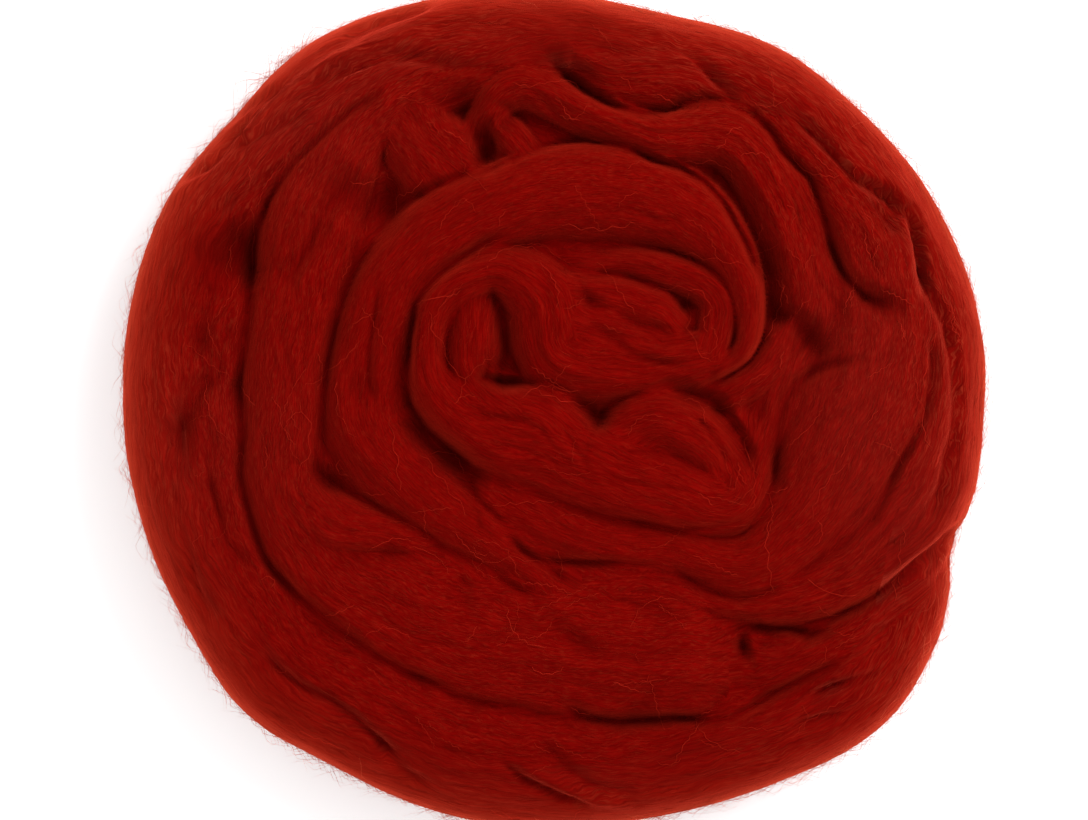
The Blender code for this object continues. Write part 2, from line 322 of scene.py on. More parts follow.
SHEEN_PATCHES = [
    PaintedPatch(84, -6, 24, 0.05),
    PaintedPatch(94, -32, 20, 0.05),
    PaintedPatch(82, 24, 24, 0.05),
    PaintedPatch(-92, -12, 30, 0.04),
    PaintedPatch(-70, 80, 26, 0.05),
]

# Painted shade: patches round the rim, mostly on the left and along the bottom, where the colour is darkened.
SHADE_PATCHES = [
    PaintedPatch(-101, -8, 9, 0.30),
    PaintedPatch(-103, 26, 14, 0.18),
    PaintedPatch(-89, 44, 8, 0.90),
    PaintedPatch(-96, 42, 8, 0.35),
    PaintedPatch(-98, -42, 22, 0.28),
    PaintedPatch(-76, -76, 20, 0.32),
    PaintedPatch(-42, -95, 20, 0.35),
    PaintedPatch(-6, -101, 20, 0.30),
    PaintedPatch(36, -97, 22, 0.35),
    PaintedPatch(72, -78, 18, 0.30),
    PaintedPatch(96, -33, 18, 0.30),
    PaintedPatch(2, 105, 20, 0.30),
]

SIDE_FOLDS = [
    SideFold(2.9, 3.0, 17.5, 1.8, 2, 0.4),
    SideFold(1.3, 2.0, 10.0, 2.0, 3, 2.1),
    SideFold(1.1, 1.8, 14.0, 3.0, 5, 4.0),
    SideFold(0.8, 1.6, 21.0, 1.6, 4, 5.2),
]

GOES_ON = (("rim_turn", "rim_end"), ("inner_turn", "inner_curl"))

# Columns: depth, width, and then the points of the line.
CREASES = creases(
    # Between the rim and the second turn: upper left, left, lower left, bottom.
    (3.4, 2.7, (-48, 87), (-56, 82), (-62, 77), (-67, 72), (-71, 68.5), (-75, 63), (-79, 57.5), (-81, 51)),
    (6, 8.5, (-90, 52), (-86, 46), (-83.5, 40), (-82.5, 33)),
    (1.4, 3.4, (-82, 40), (-83.5, 23), (-84.5, 16.5), (-86.5, 8.5), (-85.5, -1), (-85, -10)),
    (3, 3.1, (-86, 12), (-87, 7), (-86, 2)),
    (2.5, 2.9, (-85.5, -6), (-86.5, -17.5), (-85, -24), (-82.5, -33), (-80.5, -39), (-77, -45), (-70.5, -51)),
    (2.6, 3.8, (-79, -41), (-70.5, -51), (-63, -56.5), (-56.5, -62), (-49, -67.5), (-41, -72), (-33, -75.5)),
    (2, 2.8, (-41, -72), (-33.5, -75), (-27, -78.5), (-20.5, -80.5), (-11.5, -81.5)),
    (4.4, 3.8, (2, -81.5), (5.5, -82.5), (11, -85), (18.5, -86.5), (26, -85.5), (33, -84.7), (40.5, -86)),
    (2.6, 3, (33, -84.7), (40.5, -86), (48, -85.5), (53.5, -83), (57, -80.5), (61, -77.8), (68, -74),
     (76, -70)),
    (0.4, 2.7, (68, -74), (76, -70), (85, -67.5), (93, -66)),
    # Folds of the rim, left side.
    (2.9, 5, (-93.5, 12), (-96.5, 7.5), (-99, 2.8), (-102, -2.8), (-106, -8)),
    (4.5, 5.6, (-104, -1), (-103.5, -8), (-104, -15)),
    (0.9, 2.7, (-104, -12), (-104, -23), (-102, -33), (-99, -42)),
    (1.3, 4, (-95.5, -16), (-93.5, -23), (-92, -31), (-91.5, -36), (-88, -40), (-84, -43)),
    (3.3, 6, (-98, 24), (-97, 17), (-95.5, 10)),
    (-2, 4.5, (-86.5, 28), (-92, 22), (-95.5, 14), (-99, 6.5)),
    (-2.2, 5, (-90.5, 2), (-90, -7), (-89.5, -18)),
    (0.7, 2.7, (-104, 10), (-104.5, 2), (-104, -5)),
    (0.9, 2.3, (-102, -39), (-99, -45), (-97.5, -50), (-93, -57)),
    # Folds of the rim, lower left and bottom.
    (3.2, 3.2, (-80, -67), (-75.5, -72), (-70.5, -76), (-62, -79.7), (-56, -84), (-50, -89.5),
     (-44.5, -94.5)),
    (0.9, 2.7, (-50, -89.5), (-44.5, -94.5), (-39, -100), (-33, -103)),
    (0.8, 2.3, (-70, -55.5), (-66, -58.5), (-62, -62)),
    (1, 4, (-48, -80), (-40, -86), (-32, -90)),
    (2.6, 2.6, (-15, -96.5), (-13, -98), (-8.5, -101), (-4, -103.6), (2, -106.5), (9, -109)),
    (-1.6, 2.2, (-10, -98), (-4, -101), (3, -104.3), (11, -107), (20, -108)),
    (1.1, 5, (-3, -89), (-1, -93), (1, -96.5), (4.5, -99), (9, -102), (16, -104.5), (23, -106)),
    (3.2, 2.7, (69, -79), (75, -77), (82, -74.5)),
    (2.2, 2.7, (65, -87), (71, -85.5), (78, -83.5)),
    (0.6, 2.7, (79, -78), (88, -75.5), (97, -71)),
    (1.8, 2.7, (86, -62), (92, -60), (99, -55)),
    # Folds of the rim, upper left.
    (-1.8, 2.4, (-106, 57), (-95.5, 67.5), (-87, 74), (-78, 84), (-69, 90), (-59.5, 95.5),
     (-46.5, 100), (-34, 104.5)),
    (1, 2.3, (-100, 61), (-90.5, 72.5), (-83, 80.5), (-77, 87), (-68, 93)),
    (0.9, 2.3, (-76, 75), (-67, 83), (-56, 89), (-46.5, 96), (-37, 101)),
    (0.8, 2.7, (-63, 98), (-52, 103.5), (-43, 107.5), (-33, 110)),
    (0.8, 3.4, (-76, 70), (-70, 74), (-64, 79)),
    # Between the rim and the top strands, and the tuck under the rim.
    (1.6, 4, (-48, 94), (-39, 97), (-30, 95), (-20.5, 93.5), (-12, 93.5)),
    (2.5, 5.5, (-4, 98), (0, 96.5), (4, 94.5), (8, 90), (11, 86.5)),
    (4, 2.9, (3.5, 92.6), (9, 88), (16.5, 83.5), (24, 81.2), (31, 82), (35, 84.5), (40.5, 86), (48, 85.3)),
    (0.8, 2.7, (40.5, 86), (48, 85.2), (54.5, 81.5), (60, 81.4), (66.5, 80.5), (70.5, 77)),
    (0.8, 2.9, (8, 98.5), (18, 97.5), (28, 98.5), (36, 99.5)),
    (2.2, 2.7, (33, 100), (38, 97.5), (42, 94), (45.5, 90.5), (50, 86.5)),
    (4.4, 3, (66, 80.5), (70.5, 77), (74, 73), (78.6, 67.5), (82, 63.5), (88, 61), (92.5, 58.5),
     (95.5, 53.5)),
    (4.2, 3, (95.5, 54), (97.5, 55), (99, 51), (100.3, 45.3), (101.3, 38), (102.5, 33.3)),
    (3.6, 3.1, (101, 40), (102.7, 33), (105.3, 27.8), (108, 23), (109.5, 15.8)),
    (2.4, 2.7, (108, 22), (109.5, 15.8), (110, 8.3), (110.5, 1), (109.5, -7)),
    (2.6, 2.7, (110.5, -4.5), (108, -12), (106.4, -21.4), (103, -28)),
    # Second turn: the hollow at its top, its folds, and its right border down to the corner pit.
    (6, 9.5, (-64, 62), (-57, 59), (-50, 56), (-45, 53)),
    (4, 5, (-61, 60), (-64, 52), (-68, 44), (-73, 37), (-75, 31)),
    (0.9, 2.3, (-74, 31), (-75, 22), (-72.5, 10), (-70, 0)),
    (0.8, 2.3, (-67, 36), (-68.5, 22), (-69.5, 8)),
    (4.5, 4.7, (-43, 66), (-44.5, 58), (-46, 50)),
    (1.4, 4, (-42, 52), (-48, 45), (-54, 39.7), (-57.5, 32.5), (-60.3, 24), (-61.7, 16.7), (-63, 8.3)),
    (1.8, 3.1, (-60, 26), (-61.7, 16.7), (-63, 8.3), (-64, -0.8), (-64.6, -8.5), (-65.5, -17), (-61, -22)),
    (4.5, 5.6, (-69, -15), (-66, -17.5), (-62, -20), (-57, -22)),
    (1.7, 2.9, (-64, -20), (-56, -23), (-46.5, -27), (-37, -32.5), (-32, -37)),
    (1.4, 2.9, (-37, -32), (-30, -37.5), (-22, -41)),
    (0.9, 2.3, (-71, -20), (-69, -26), (-66, -33), (-60, -38)),
    (0.4, 4.5, (-60, -40), (-50, -38.5), (-40, -37)),
    # Third turn: its sub-crease and its soft step.
    (2, 2.3, (-47.5, 34), (-48.3, 31.4), (-49.7, 23), (-50.6, 15.8), (-50.6, 8.3), (-49.2, 1.9)),
    (2.3, 6.7, (-58, 5), (-51, 3.5), (-44, 2)),
    (-2.5, 8, (-53, -5), (-48, -10), (-42, -13)),
    (0.8, 2.3, (-56, 28), (-57.5, 18), (-57.5, 8)),
    (0.8, 2.3, (-12, 49), (-2, 52), (10, 54.5), (22, 54), (32, 50.5)),
    (0.8, 2.3, (-14, 44), (-4, 47), (6, 49)),
    # Between the third turn and the inner turn.
    (3.2, 2.9, (-14, 48), (-20.5, 45.3), (-28, 39.7), (-34.4, 34), (-38, 28.6), (-39.4, 19.4), (-40, 10.3)),
    (3.6, 2.7, (-38, 28.6), (-39.4, 19.4), (-40, 10.3), (-39.4, 2), (-35.5, -4.7), (-28, -11),
     (-20.5, -16.7)),
    (6, 6.5, (-39, 0), (-36, -6.5), (-30, -12), (-23, -17.5), (-17, -19.5)),
    (1, 2.3, (-20, -17), (-11.4, -19.4), (-4.7, -21.4), (1.7, -25), (9.2, -27.8), (18.3, -29.7),
     (27.5, -31.4)),
    (1.7, 2.3, (18.3, -29.7), (27.5, -31.4), (35, -32.7), (42.5, -32), (49.7, -30.5), (54.5, -27.5)),
    (1.2, 2.3, (-24, -18.6), (-20.6, -25), (-15, -30.6), (-11.4, -33.3)),
    # Inner turn: its doubled left side, the long pit, the small pit and the hook on the right.
    (1.2, 2.3, (-24.2, 0.8), (-17.8, -1.9), (-9.4, -2.8), (-3.9, -5.6), (0, -10)),
    (1.7, 3.1, (-18.5, 34), (-16.5, 31), (-14, 27), (-12.5, 22)),
    (4, 5, (-12, 25), (-12.5, 17), (-11, 11), (-14, 8)),
    (6.5, 3.6, (-17.5, 14), (-19, 9), (-14, 6.6), (-7, 7)),
    (1, 2.3, (-13, 8.5), (-6.5, 8), (-2, 8), (3.5, 5.4), (8, 3.5)),
    (4.5, 4, (7, 2.5), (10, -0.5), (12.2, -3.5), (13.5, -1), (17.5, 2)),
    (1.3, 2.7, (12, -4), (9.2, -7.5), (8, -12)),
    (1.7, 2.3, (15, 2.6), (19.5, 4), (24, 5.6), (31.4, 7.5), (36, 8.3)),
    (1, 2.3, (1.7, -4.7), (6.4, -12), (10, -17)),
    (6, 5, (32, 6), (38, 3), (44, 1), (47, -4)),
    (6, 5.2, (46, -2), (49, -7), (51.5, -12), (51, -17.5)),
    (3.1, 2.7, (36, 0), (41.4, -4.7), (45.3, -10.3), (48, -16.7)),
    (0.8, 2.3, (14, -18), (26, -21), (38, -22), (48, -25)),
    (0.8, 2.3, (-16, -9), (-6, -12), (4, -17), (12, -21)),
    # Pits between the lobes.
    (6, 6, (9, 0.8), (12.2, -1.5), (15.5, 0.8)),
    (6, 5.5, (-18, 9), (-15, 9.5), (-12, 10.5)),
    (3.5, 4.5, (34, 31), (36.5, 29), (38, 27.5)),
    (6, 5, (-20.5, 73), (-18.8, 69), (-17.5, 66.5)),
    (4.5, 5.5, (-31, -7), (-27.5, -12.5), (-23, -16)),
    # The curl inside the crescent.
    (0.5, 2.3, (-3, 41.5), (3.6, 39.7), (9.2, 41.7), (16.4, 43.6), (25.8, 43.9), (33, 43.6), (39.7, 40.8)),
    (1.5, 2.3, (50.8, 25), (49.7, 19.4), (46.9, 13.9), (42.5, 10.3), (36, 8.3)),
    (1.4, 2.3, (5, 35.5), (8, 36.4), (14.7, 36.9), (21.9, 35.6), (28.6, 32.5), (32.5, 30)),
    (3.2, 3.8, (6.5, 32), (9.5, 30), (13, 28)),
    (1.9, 4, (31.5, 30), (35.5, 28.8), (39.5, 29.5)),
    (1.1, 2.7, (18, 26), (21, 24), (25.8, 20.3), (30.3, 17.5), (36, 17.5), (39, 19.5)),
    (1.9, 4, (11, 22), (17, 18.5), (22, 14.5)),
    (2.3, 2.7, (21, 15), (29, 13.2), (36, 12)),
    # Right border of the crescent and the dark trough beside it.
    (1.7, 2.3, (-22.5, 63.5), (-15, 67), (-6, 70.5), (1.7, 73.3), (9, 74.2), (16.4, 73.3), (22, 71),
     (27.5, 68.3)),
    (6.5, 2.7, (22, 71), (27.5, 68.3), (35, 66), (41, 62.5), (46, 57), (49.5, 50.5), (53, 44), (56, 36)),
    (4.5, 5.6, (41, 68.5), (47, 64), (51.5, 57), (54.5, 50), (57.5, 43), (60, 36)),
    (4.5, 5.6, (58, 42), (60.5, 34), (61, 27), (58, 21)),
    (1.7, 2.3, (57, 37), (58.7, 30), (58.7, 24), (57, 18.5), (53, 13), (48, 9.5), (42, 7)),
    (6, 9.5, (64, 24), (68, 19), (71, 14)),
    (0.5, 2.9, (75, 13), (69, 9), (65, 4), (63, -2.8), (62.2, -10.3), (61.4, -16.7), (58, -23)),
    # Top strands: the slack loops, the lobe, the small roll.
    (4.2, 8, (-31, 88), (-26, 85), (-21, 80)),
    (6, 5, (-22, 80), (-19.5, 73), (-19, 67)),
    (1.7, 2.3, (-18, 83), (-15.5, 83.7), (-12.5, 83), (-8.8, 79.7), (-5, 74)),
    (2.8, 2.9, (-18.5, 78), (-17, 74), (-15, 70)),
    (1.2, 2.3, (-6.5, 88), (-1, 82.5), (3.5, 78)),
    (0.8, 2.9, (1.5, 77.5), (6, 76), (12, 75.2), (17, 73.5)),
    (2.1, 2.9, (-45, 54), (-40, 58), (-33.6, 61), (-26, 63.5), (-20.5, 66)),
    # Right turn: folds from the tuck down to the fan.
    (2.8, 2.8, (54.5, 81.4), (59, 77), (62, 72), (66.5, 66.7), (70.3, 64), (73, 58.3)),
    (1.1, 2.7, (70.3, 64), (73, 58.3), (74.7, 51), (76.7, 44.5), (81.5, 37), (86, 31.5)),
    (4.5, 5, (82, 34), (87, 30), (93, 27)),
    (6, 5.5, (85, 59), (90, 54), (94, 48)),
    (1, 2.3, (66, 55), (68, 44), (73, 34), (79, 27)),
    (0.8, 2.3, (84, 52), (85, 44), (89, 37)),
    # Right lobe and the strand under it.
    (2.4, 2.7, (104.4, 20.3), (103.6, 10.3), (102.5, 2.8), (100.8, -2.8), (97, -10.3), (94, -15.8),
     (90.6, -23)),
    (2, 2.9, (98, -8.5), (94, -15.8), (90.6, -23), (87, -29.7), (82, -34.5), (76, -39), (70, -43),
     (64, -46.5)),
    (0.8, 3.4, (86, 4), (80, -2), (73, -4), (68, -8)),
    (0.8, 2.3, (92, -2), (86, -10), (83, -20)),
    (0.8, 2.3, (99, -18), (95, -27), (88, -35), (80, -42)),
    (2.4, 2.9, (31, -42.5), (33, -43.6), (37.8, -47), (43.3, -50.3), (50.8, -52), (57.5, -51.5)),
    (3.4, 3, (113, -31.5), (106.5, -37.7), (100, -42.2), (94, -47), (88.6, -51.4), (83, -54.7), (76, -57.8)),
    (2.2, 2.9, (83, -54.7), (76, -57.8), (68.3, -60.3), (60, -60.5), (52, -58.3)),
    (5.5, 3.8, (51.4, -60.5), (51.8, -64), (52.3, -67), (54, -70)),
    (3.2, 3.1, (67, -62), (71, -62.8), (75, -62)),
    # The big lobe at the bottom.
    (2.2, 2.7, (-14, -34.5), (-11.4, -36), (-6.7, -40.5), (-1.9, -43.6), (1.7, -46.6), (5, -48)),
    (1.5, 2.3, (-2, -41.5), (9.2, -42), (16.4, -41.3), (22, -42), (29, -42.5)),
    (3.2, 3.1, (-16, -45), (-13, -48), (-9, -50), (-4, -50.5)),
    (2.2, 5.5, (-28, -44), (-26.5, -51), (-24, -58)),
    (2.1, 5.6, (-4, -60), (3, -62.5), (9, -66), (14, -69)),
    (0.8, 2.3, (-50, -57), (-38, -63), (-26, -66), (-14, -67)),
    (0.8, 2.3, (14, -52), (24, -54), (36, -57)),
    (0.8, 2.3, (0, -74), (14, -77), (28, -78)),
    # Folds that follow the rim: upper left, top, upper right.
    (1.8, 2.4, (-57.5, 102), (-51.5, 105), (-45, 107.5), (-37.5, 110), (-32, 112.5)),
    (2.2, 2.4, (-70.5, 88), (-64, 90.5), (-57.5, 93.5), (-51.5, 96), (-45, 98.5), (-38.5, 101.5)),
    (-1.1, 3, (-88.5, 74.5), (-81, 79), (-75, 83.5), (-66.5, 90), (-60, 94.5), (-51.5, 99),
     (-45, 102), (-37.5, 105.5), (-30, 109.5)),
    (1.6, 2, (-103, 60.5), (-98, 66), (-92, 71), (-85.5, 76.5), (-80, 79.5)),
    (1.4, 2, (-90, 78.5), (-83.5, 83.5), (-78, 87), (-72.5, 90)),
    (1.4, 2, (-75, 84.5), (-68.5, 86.5), (-62, 91), (-55.5, 93.5), (-49, 96.5)),
    (2, 2.2, (-100.5, 63.5), (-94, 68), (-88.5, 72), (-81, 75.5), (-75, 78.5), (-68.5, 81.5)),
    (1.9, 2, (-91, 73.5), (-83.5, 79.5), (-78, 85), (-74, 88)),
    (2, 3, (-94, 54), (-87.5, 58.5), (-80, 63.5), (-75, 68)),
    (1.9, 4, (-48.5, 97.5), (-42, 97.5), (-35.5, 96.5), (-27, 95.5)),
    (1.3, 4, (2, 97.5), (7, 100), (13.5, 99), (20, 98)),
    (1.8, 2.6, (38.5, 96), (42.5, 92.5), (45.5, 88), (49.5, 85)),
    (1.6, 2.6, (42.5, 93.5), (45.5, 90.5), (48.5, 87), (54, 84)),
    (2.6, 2.6, (59.5, 75.5), (62.5, 71), (67, 67), (70.5, 64)),
    (2.2, 3, (70.5, 64), (72, 58.5), (74.5, 53), (76.5, 45.5), (79.5, 39), (83, 34)),
    (2.4, 6.5, (65, 58.5), (69, 52), (73, 44.5), (76, 37)),
    (2.2, 2.2, (99.5, 52), (100, 45.5), (101, 39), (102, 32.5)),
    (1.8, 2.8, (87, 60.5), (92, 58.5), (95, 55), (96, 52)),
    (1.4, 5, (92.5, 54), (91, 50), (90, 45.5)),
    # The dark wedge beside the rim, and its soft slope.
    (4.5, 3.2, (-81, 53.5), (-82.5, 50), (-83.5, 44.5), (-84, 39), (-84.5, 34)),
    (3.2, 9, (-94, 45.5), (-90.5, 43), (-87.5, 39)),
    (1.6, 5, (-94, 37.5), (-96, 31), (-97.5, 25), (-98.5, 17.5)),
    (1.6, 5, (-88.5, 14), (-95, 10.5), (-100.5, 3.5), (-104.5, -6)),
    (1.6, 2.6, (-95.5, -17), (-94.5, -22), (-93, -27.5), (-91.5, -33)),
    (0.9, 3, (-104.5, -17), (-104, -23.5), (-103, -29.5)),
    (1.3, 6, (-76, -14), (-71.5, -17), (-66.5, -19.5)),
    # Inside the curl.
    (3.2, 3, (-15, 27.5), (-14, 21.5), (-13.5, 16), (-15, 11.5), (-16, 8.5)),
    (4, 2.8, (-17.5, 8.5), (-13.5, 8), (-9.5, 7.5)),
    (1.6, 5, (-21.5, 18.5), (-21, 14), (-19.5, 10.5)),
    (1.4, 2.6, (-25.5, -18), (-23, -22), (-21.5, -27.5), (-21, -33)),
    # The lobe at the right and the valley on its left.
    (3.2, 3.8, (61, -22), (61, -12.5), (61.5, -4), (63, 2.5), (66.5, 7.5), (72, 10.5), (77.5, 12.5),
     (83, 14)),
    (3.4, 4.4, (59, 31), (61.5, 26), (66.5, 24.5), (70, 21), (72, 16), (70, 11.5)),
    (2.2, 6, (54.5, 4.5), (56.5, -4), (58.5, -12.5), (59, -19)),
    (3, 2.8, (75.5, 47), (78.5, 39.5), (82, 34.5), (85.5, 31), (90, 29.5)),
    (2.2, 6.5, (85, 29.5), (91.5, 28), (98, 26)),
    (1, 2.4, (70, -21.5), (74.5, -17)),
    (2, 2.6, (103, 20), (104, 12), (103.5, 4.5), (102, -2.5)),
    # Lower right.
    (3, 2.8, (51.5, -60), (57, -60), (64.5, -60.5), (70, -62), (74.5, -60.5), (76.5, -58.5)),
    (2.2, 3.6, (66, -61.5), (70, -64), (74, -62.5)),
    (1.8, 2.4, (69, -81.5), (72, -79.5), (76.5, -76.5), (83, -74), (89.5, -72)),
    (1.4, 2.2, (70, -86.5), (75.5, -84.5), (80.5, -83.5), (85.5, -80.5)),
    (1.2, 2.6, (94.5, -63), (99, -59), (104, -53)),
    (1.6, 2.8, (51, -83.5), (54, -82.5), (59.5, -79.5), (66, -76), (72, -73.5), (79.5, -70)),
    # Bottom and lower left.
    (2, 2.6, (-12, -35.5), (-9, -38.5), (-3.5, -41), (2, -41.5), (9.5, -41.5), (18, -41.5)),
    (1.6, 3, (-1.5, -42), (1, -44), (3.5, -46.5)),
    (1.1, 4.2, (0.5, -60), (6.5, -64), (11.5, -66.5)),
    (2.2, 7, (16, -83), (22, -84), (30, -84)),
    (1.8, 4.2, (-5.5, -90), (-1.5, -94), (3, -98.5), (7, -101.5), (12.5, -104.5)),
    (1, 2.4, (-34.5, -91), (-27, -94.5), (-20.5, -97.5)),
    (1.4, 3, (-48.5, -91.5), (-45, -96.5), (-40, -100.5), (-33.5, -104)),
    (1, 2.4, (-51.5, -88), (-45, -93), (-35.5, -97.5)),
    (1.1, 2.4, (-100.5, -39.5), (-99.5, -46), (-97.5, -52.5), (-93, -59)),
    (1.3, 2.6, (-85.5, -53.5), (-81, -60), (-79, -66)),
    (1.6, 5, (-60, -42), (-51.5, -39.5), (-40.5, -37)),
    # The hollow at the top.
    (4.5, 2.8, (-2, 96.5), (1, 94.5), (4, 91.5), (8.5, 87.5), (13, 85), (18.5, 82.5)),
    (1.8, 2.5, (3, 74), (7, 75), (10, 76)),
)


# --- Paths and sections ---


@dataclass
class SoftNoise:
    """Smooth random values from 0 to 1 over two numbers.

    A table of random values is read between its cells with the weight 3t^2 - 2t^3, and it
    repeats every `cells`.

    Attributes:
        seed: start of the random numbers.
        cells: size of the table each way.
    """

    seed: int
    cells: int = 64
    table: Array = field(init=False)

    def __post_init__(self) -> None:
        """Fill the table."""
        self.table = np.random.default_rng(self.seed).random((self.cells, self.cells))

    def at(self, u: Array, v: Array) -> Array:
        """The value at (u, v), where one cell is one unit.

        Args:
            u: first number.
            v: second number, of the same shape.

        Returns:
            Values from 0 to 1.
        """
        iu, iv = np.floor(u).astype(int), np.floor(v).astype(int)
        fu, fv = u - iu, v - iv
        wu, wv = fu * fu * (3 - 2 * fu), fv * fv * (3 - 2 * fv)
        i0, i1 = iu % self.cells, (iu + 1) % self.cells
        j0, j1 = iv % self.cells, (iv + 1) % self.cells
        low = self.table[i0, j0] * (1 - wu) + self.table[i1, j0] * wu
        high = self.table[i0, j1] * (1 - wu) + self.table[i1, j1] * wu
        return low * (1 - wv) + high * wv


@dataclass
class Course:
    """A smooth path through stations.

    Attributes:
        stations: the sections it passes through.
        closed: whether it joins up with its own start.
        pitch: distance between the rows that the curve is sampled at, in metres.
        rows: the curve's rows of (x, y, top, width, depth), in metres.
        arc: distance of each row along the curve.
        ahead: level unit direction at each row.
    """

    stations: Sequence[Station]
    closed: bool = False
    pitch: float = 1.0 * MM
    rows: Array = field(init=False)
    arc: Array = field(init=False)
    ahead: Array = field(init=False)

    def __post_init__(self) -> None:
        """Sample the curve evenly and work out its directions."""
        dense = self._curve(np.array(self.stations, float) * MM)
        step = np.linalg.norm(np.diff(dense[:, :2], axis=0), axis=1)
        arc = np.concatenate([[0.0], np.cumsum(step)])
        self.arc = np.linspace(0.0, arc[-1], max(8, int(arc[-1] / self.pitch)))
        self.rows = np.stack([np.interp(self.arc, arc, dense[:, k]) for k in range(5)], axis=1)
        ahead = np.gradient(self.rows[:, :2], axis=0)
        if self.closed:
            ahead[0] = ahead[-1] = self.rows[1, :2] - self.rows[-2, :2]
        self.ahead = ahead / np.linalg.norm(ahead, axis=1)[:, None]

    @staticmethod
    def _curve(rows: Array, places: int = 24) -> Array:
        """Cubic Hermite curve through the rows.

        Its slope at a row is the mean of the slopes on both sides, weighted by the gaps, and its
        parameter is the square root of the chord, so it neither overshoots nor loops.

        Args:
            rows: n rows of (x, y, top, width, depth), in metres.
            places: how many places in each gap.

        Returns:
            The curve at those places, and the last row.
        """
        chords = np.linalg.norm(np.diff(rows[:, :2], axis=0), axis=1)
        gap = np.sqrt(chords)[:, None]
        slope = np.diff(rows, axis=0) / gap
        middle = (slope[:-1] * gap[1:] + slope[1:] * gap[:-1]) / (gap[1:] + gap[:-1])
        tangent = np.concatenate([slope[:1], middle, slope[-1:]])
        t = np.linspace(0.0, 1.0, places, endpoint=False)[None, :, None]
        curve = (
            (2 * t**3 - 3 * t**2 + 1) * rows[:-1, None]
            + (t**3 - 2 * t**2 + t) * gap[:, None] * tangent[:-1, None]
            + (3 * t**2 - 2 * t**3) * rows[1:, None]
            + (t**3 - t**2) * gap[:, None] * tangent[1:, None]
        )
        return np.concatenate([curve.reshape(-1, 5), rows[-1:]])

    def near(self, x: Array, y: Array) -> Tuple[Array, Array, Array, Array]:
        """Where places lie along and across the path.

        Args:
            x: places, in metres.
            y: their other coordinate.

        Returns:
            (arc, across, past, row): distance along the path, distance to its left, distance past
            either end, and the nearest row.
        """
        row = np.empty(len(x), int)
        rx, ry = self.rows[:, 0].astype(np.float32), self.rows[:, 1].astype(np.float32)
        block = max(1, 4_000_000 // len(rx))
        for start in range(0, len(x), block):
            part = slice(start, start + block)
            gap_x = x[part, None].astype(np.float32) - rx
            gap_y = y[part, None].astype(np.float32) - ry
            row[part] = (gap_x * gap_x + gap_y * gap_y).argmin(axis=1)
        dx, dy = x - self.rows[row, 0], y - self.rows[row, 1]
        ax, ay = self.ahead[row, 0], self.ahead[row, 1]
        along, across = dx * ax + dy * ay, dy * ax - dx * ay
        past = np.zeros(len(x))
        if not self.closed:
            past = np.where(row == 0, np.maximum(-along, 0.0), past)
            past = np.where(row == len(rx) - 1, np.maximum(along, 0.0), past)
        return self.arc[row] + np.clip(along, -self.pitch, self.pitch), across, past, row


@dataclass
class Length:
    """One length of the roving: a band of rounded section along its course.

    Attributes:
        name: what the length is called.
        course: the path it takes.
        seed: makes its pleats and streaks its own.
        boxy: exponent p of the section |across / a|^p + |up / b|^p = 1.
        upper: whether it belongs to the upper course.
    """

    name: str
    course: Course
    seed: int
    boxy: float = 2.5
    upper: bool = True

    def fit(self, x: Array, y: Array) -> Dict[str, Array]:
        """How places lie to the length.

        Args:
            x: places, in metres.
            y: their other coordinate.

        Returns:
            Arrays by name: q (distance from the path over half width), u (signed, across only),
            s (distance along), a, b (half width and depth), c (height of the section's middle)
            and dx, dy (level direction).
        """
        rows = self.course.rows
        margin = rows[:, 3].max() + 4 * MM
        inside = (x > rows[:, 0].min() - margin) & (x < rows[:, 0].max() + margin)
        inside &= (y > rows[:, 1].min() - margin) & (y < rows[:, 1].max() + margin)
        out = {key: np.zeros(len(x), np.float32) for key in ("u", "s", "c", "dx", "dy")}
        out["q"] = np.full(len(x), 9.0, np.float32)
        out["a"] = np.full(len(x), 5 * MM, np.float32)
        out["b"] = np.full(len(x), 5 * MM, np.float32)
        s, across, past, row = self.course.near(x[inside], y[inside])
        top, width, depth = (np.interp(s, self.course.arc, rows[:, k]) for k in (2, 3, 4))
        a, b = width / 2, depth / 2
        out["u"][inside] = across / a
        out["q"][inside] = np.hypot(across, past) / a
        out["s"][inside] = s
        out["a"][inside], out["b"][inside], out["c"][inside] = a, b, top - b
        out["dx"][inside], out["dy"][inside] = self.course.ahead[row, 0], self.course.ahead[row, 1]
        return out


